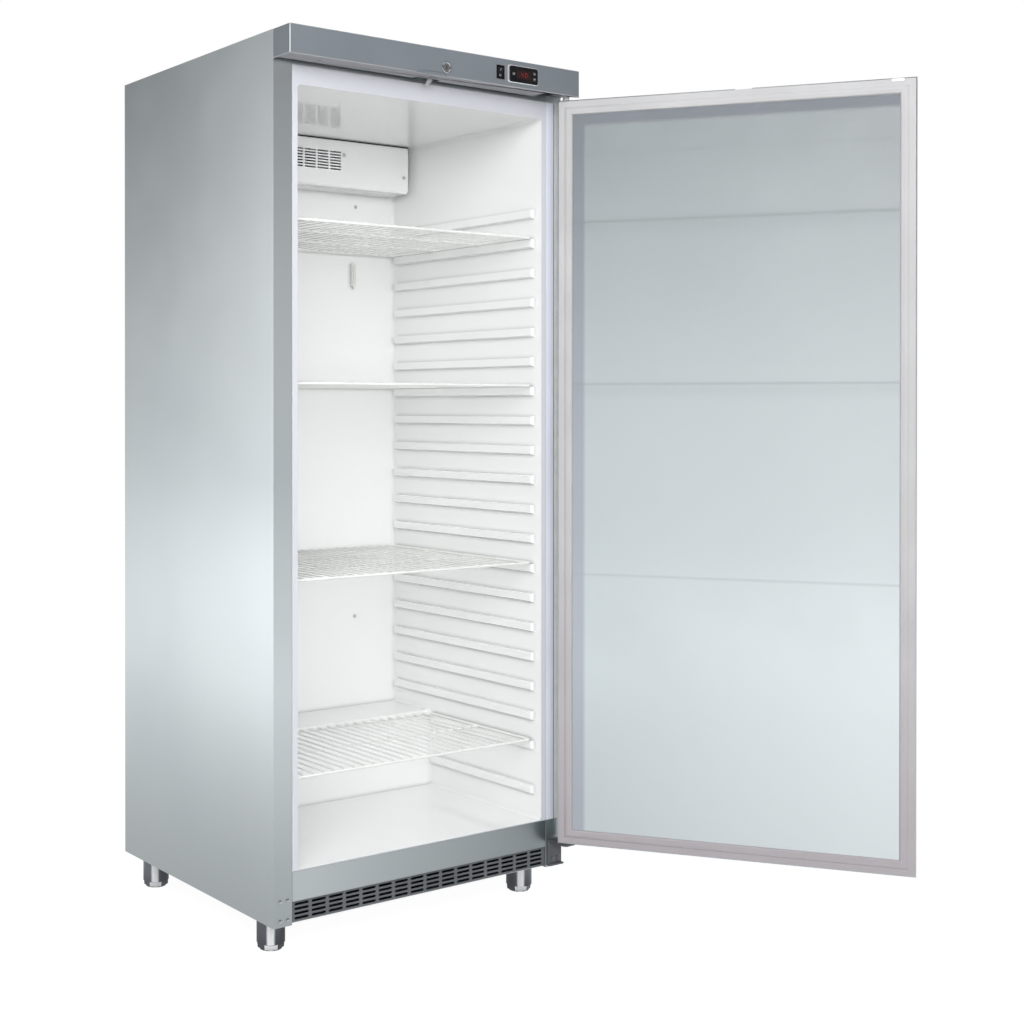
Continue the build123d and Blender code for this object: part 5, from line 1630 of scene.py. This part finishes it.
# %% White ink
white_ink = finish(
    "white_ink", (0.42, 0.42, 0.43), (0.36, 0.36, 0.37), 0.0, 0.45,
    skin(2000, 200), 0.1,
)
print(white_ink.name, "has", len(white_ink.node_tree.nodes), "nodes")


# %% A helper that prints a mark on a piece
INK = 0.0001
FORWARD = Vector((0, -1, 0))


def printed_mark(name, corners, size, piece, at_x, at_z, body, spin=0.0, line=0.0):
    """A thin outline printed on the front of a piece, turned to lie on it."""
    bpy.context.view_layer.update()
    found = bpy.data.objects[piece].ray_cast(Vector((at_x, -1, at_z)), -FORWARD)
    spot, facing = found[1:3]
    mark = flat_outline(name, corners, size, spot, spin)
    if line:
        pick_up(mark, "FACE", "SELECT")
        bpy.ops.mesh.inset(thickness=line, depth=0)
        bpy.ops.mesh.delete(type="FACE")
    tip = facing.angle(FORWARD)
    hold(mark)
    bpy.ops.transform.rotate(
        value=tip if facing.z > 0 else -tip, orient_axis="X", center_override=spot
    )
    settle()
    give_wall(mark, INK)
    dress(mark, body, "silver_key", white_ink)


# %% Bar and ring on the rocker, arrows on the keys
rocker_low, rocker_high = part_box("switch_rocker")
rocker_x = (rocker_low.x + rocker_high.x) / 2
rocker_z = (rocker_low.z + rocker_high.z) / 2
printed_mark(
    "rocker_bar", 4, (0.0010, 0.0052), "rocker_cap", rocker_x, rocker_z + 0.0060,
    "rocker",
)
printed_mark(
    "rocker_ring", 24, (0.0050, 0.0050), "rocker_cap", rocker_x, rocker_z - 0.0062,
    "rocker", line=0.0008,
)
for node, cap, body, corners, spin in (
    ("button_up", "up_key", "key_up", 3, 0.0),
    ("button_down", "down_key", "key_down", 3, pi),
    ("button_set", "set_key", "key_set", 20, 0.0),
):
    low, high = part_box(node)
    middle = (low + high) / 2
    printed_mark(
        cap + "_mark", corners, (0.0040, 0.0036), cap, middle.x, middle.z, body,
        spin=spin, line=0.0007 if corners > 3 else 0.0,
    )

# %% [markdown]
# ### The lit figures
#
# The display shows its figures with seven bars each. One bar is a stretched six sided
# outline. It is made once and copied to every lit place, and then the copies are joined.

# %% Red light and the bars of a figure
red_light = finish(
    "red_figure_light", (0.35, 0.012, 0.010), (0.30, 0.010, 0.008), 0.0, 0.4,
    skin(2000, 200), 0.1,
    Emission_Color=(0.9, 0.04, 0.04, 1), Emission_Strength=0.14,
)
BARS = {
    "top": (0, 2, True), "middle": (0, 0, True), "bottom": (0, -2, True),
    "upper_left": (-1, 1, False), "upper_right": (1, 1, False),
    "lower_left": (-1, -1, False), "lower_right": (1, -1, False),
}
LIT = {
    "0": ("top", "bottom", "upper_left", "upper_right", "lower_left", "lower_right"),
    "4": ("middle", "upper_left", "upper_right", "lower_right"),
}
print("bars of 4:", LIT["4"], "and of 0:", LIT["0"])

# %% Red figures behind the window
window_low, window_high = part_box("controller_window")
window_z = (window_low.z + window_high.z) / 2
HALF_W, HALF_H = 0.0023, 0.0046
BAR_SIZE = (0.00105, 0.0040)
FIGURES_AT = {"4": 0.2160, "0": 0.2270}
one_bar = flat_outline("one_bar", 6, BAR_SIZE, (0, 0, 0))
placements = []
for figure, at_x in FIGURES_AT.items():
    for bar in LIT[figure]:
        across, up, lying = BARS[bar]
        place = (at_x + across * HALF_W, window_low.y - INK, window_z + up * HALF_H / 2)
        placements.append((place, (0, pi / 2 if lying else 0, 0)))
figures = copies_at(one_bar, "lit_figures", placements)
give_wall(figures, INK)
dress(figures, "cabinet", "red_window", red_light)
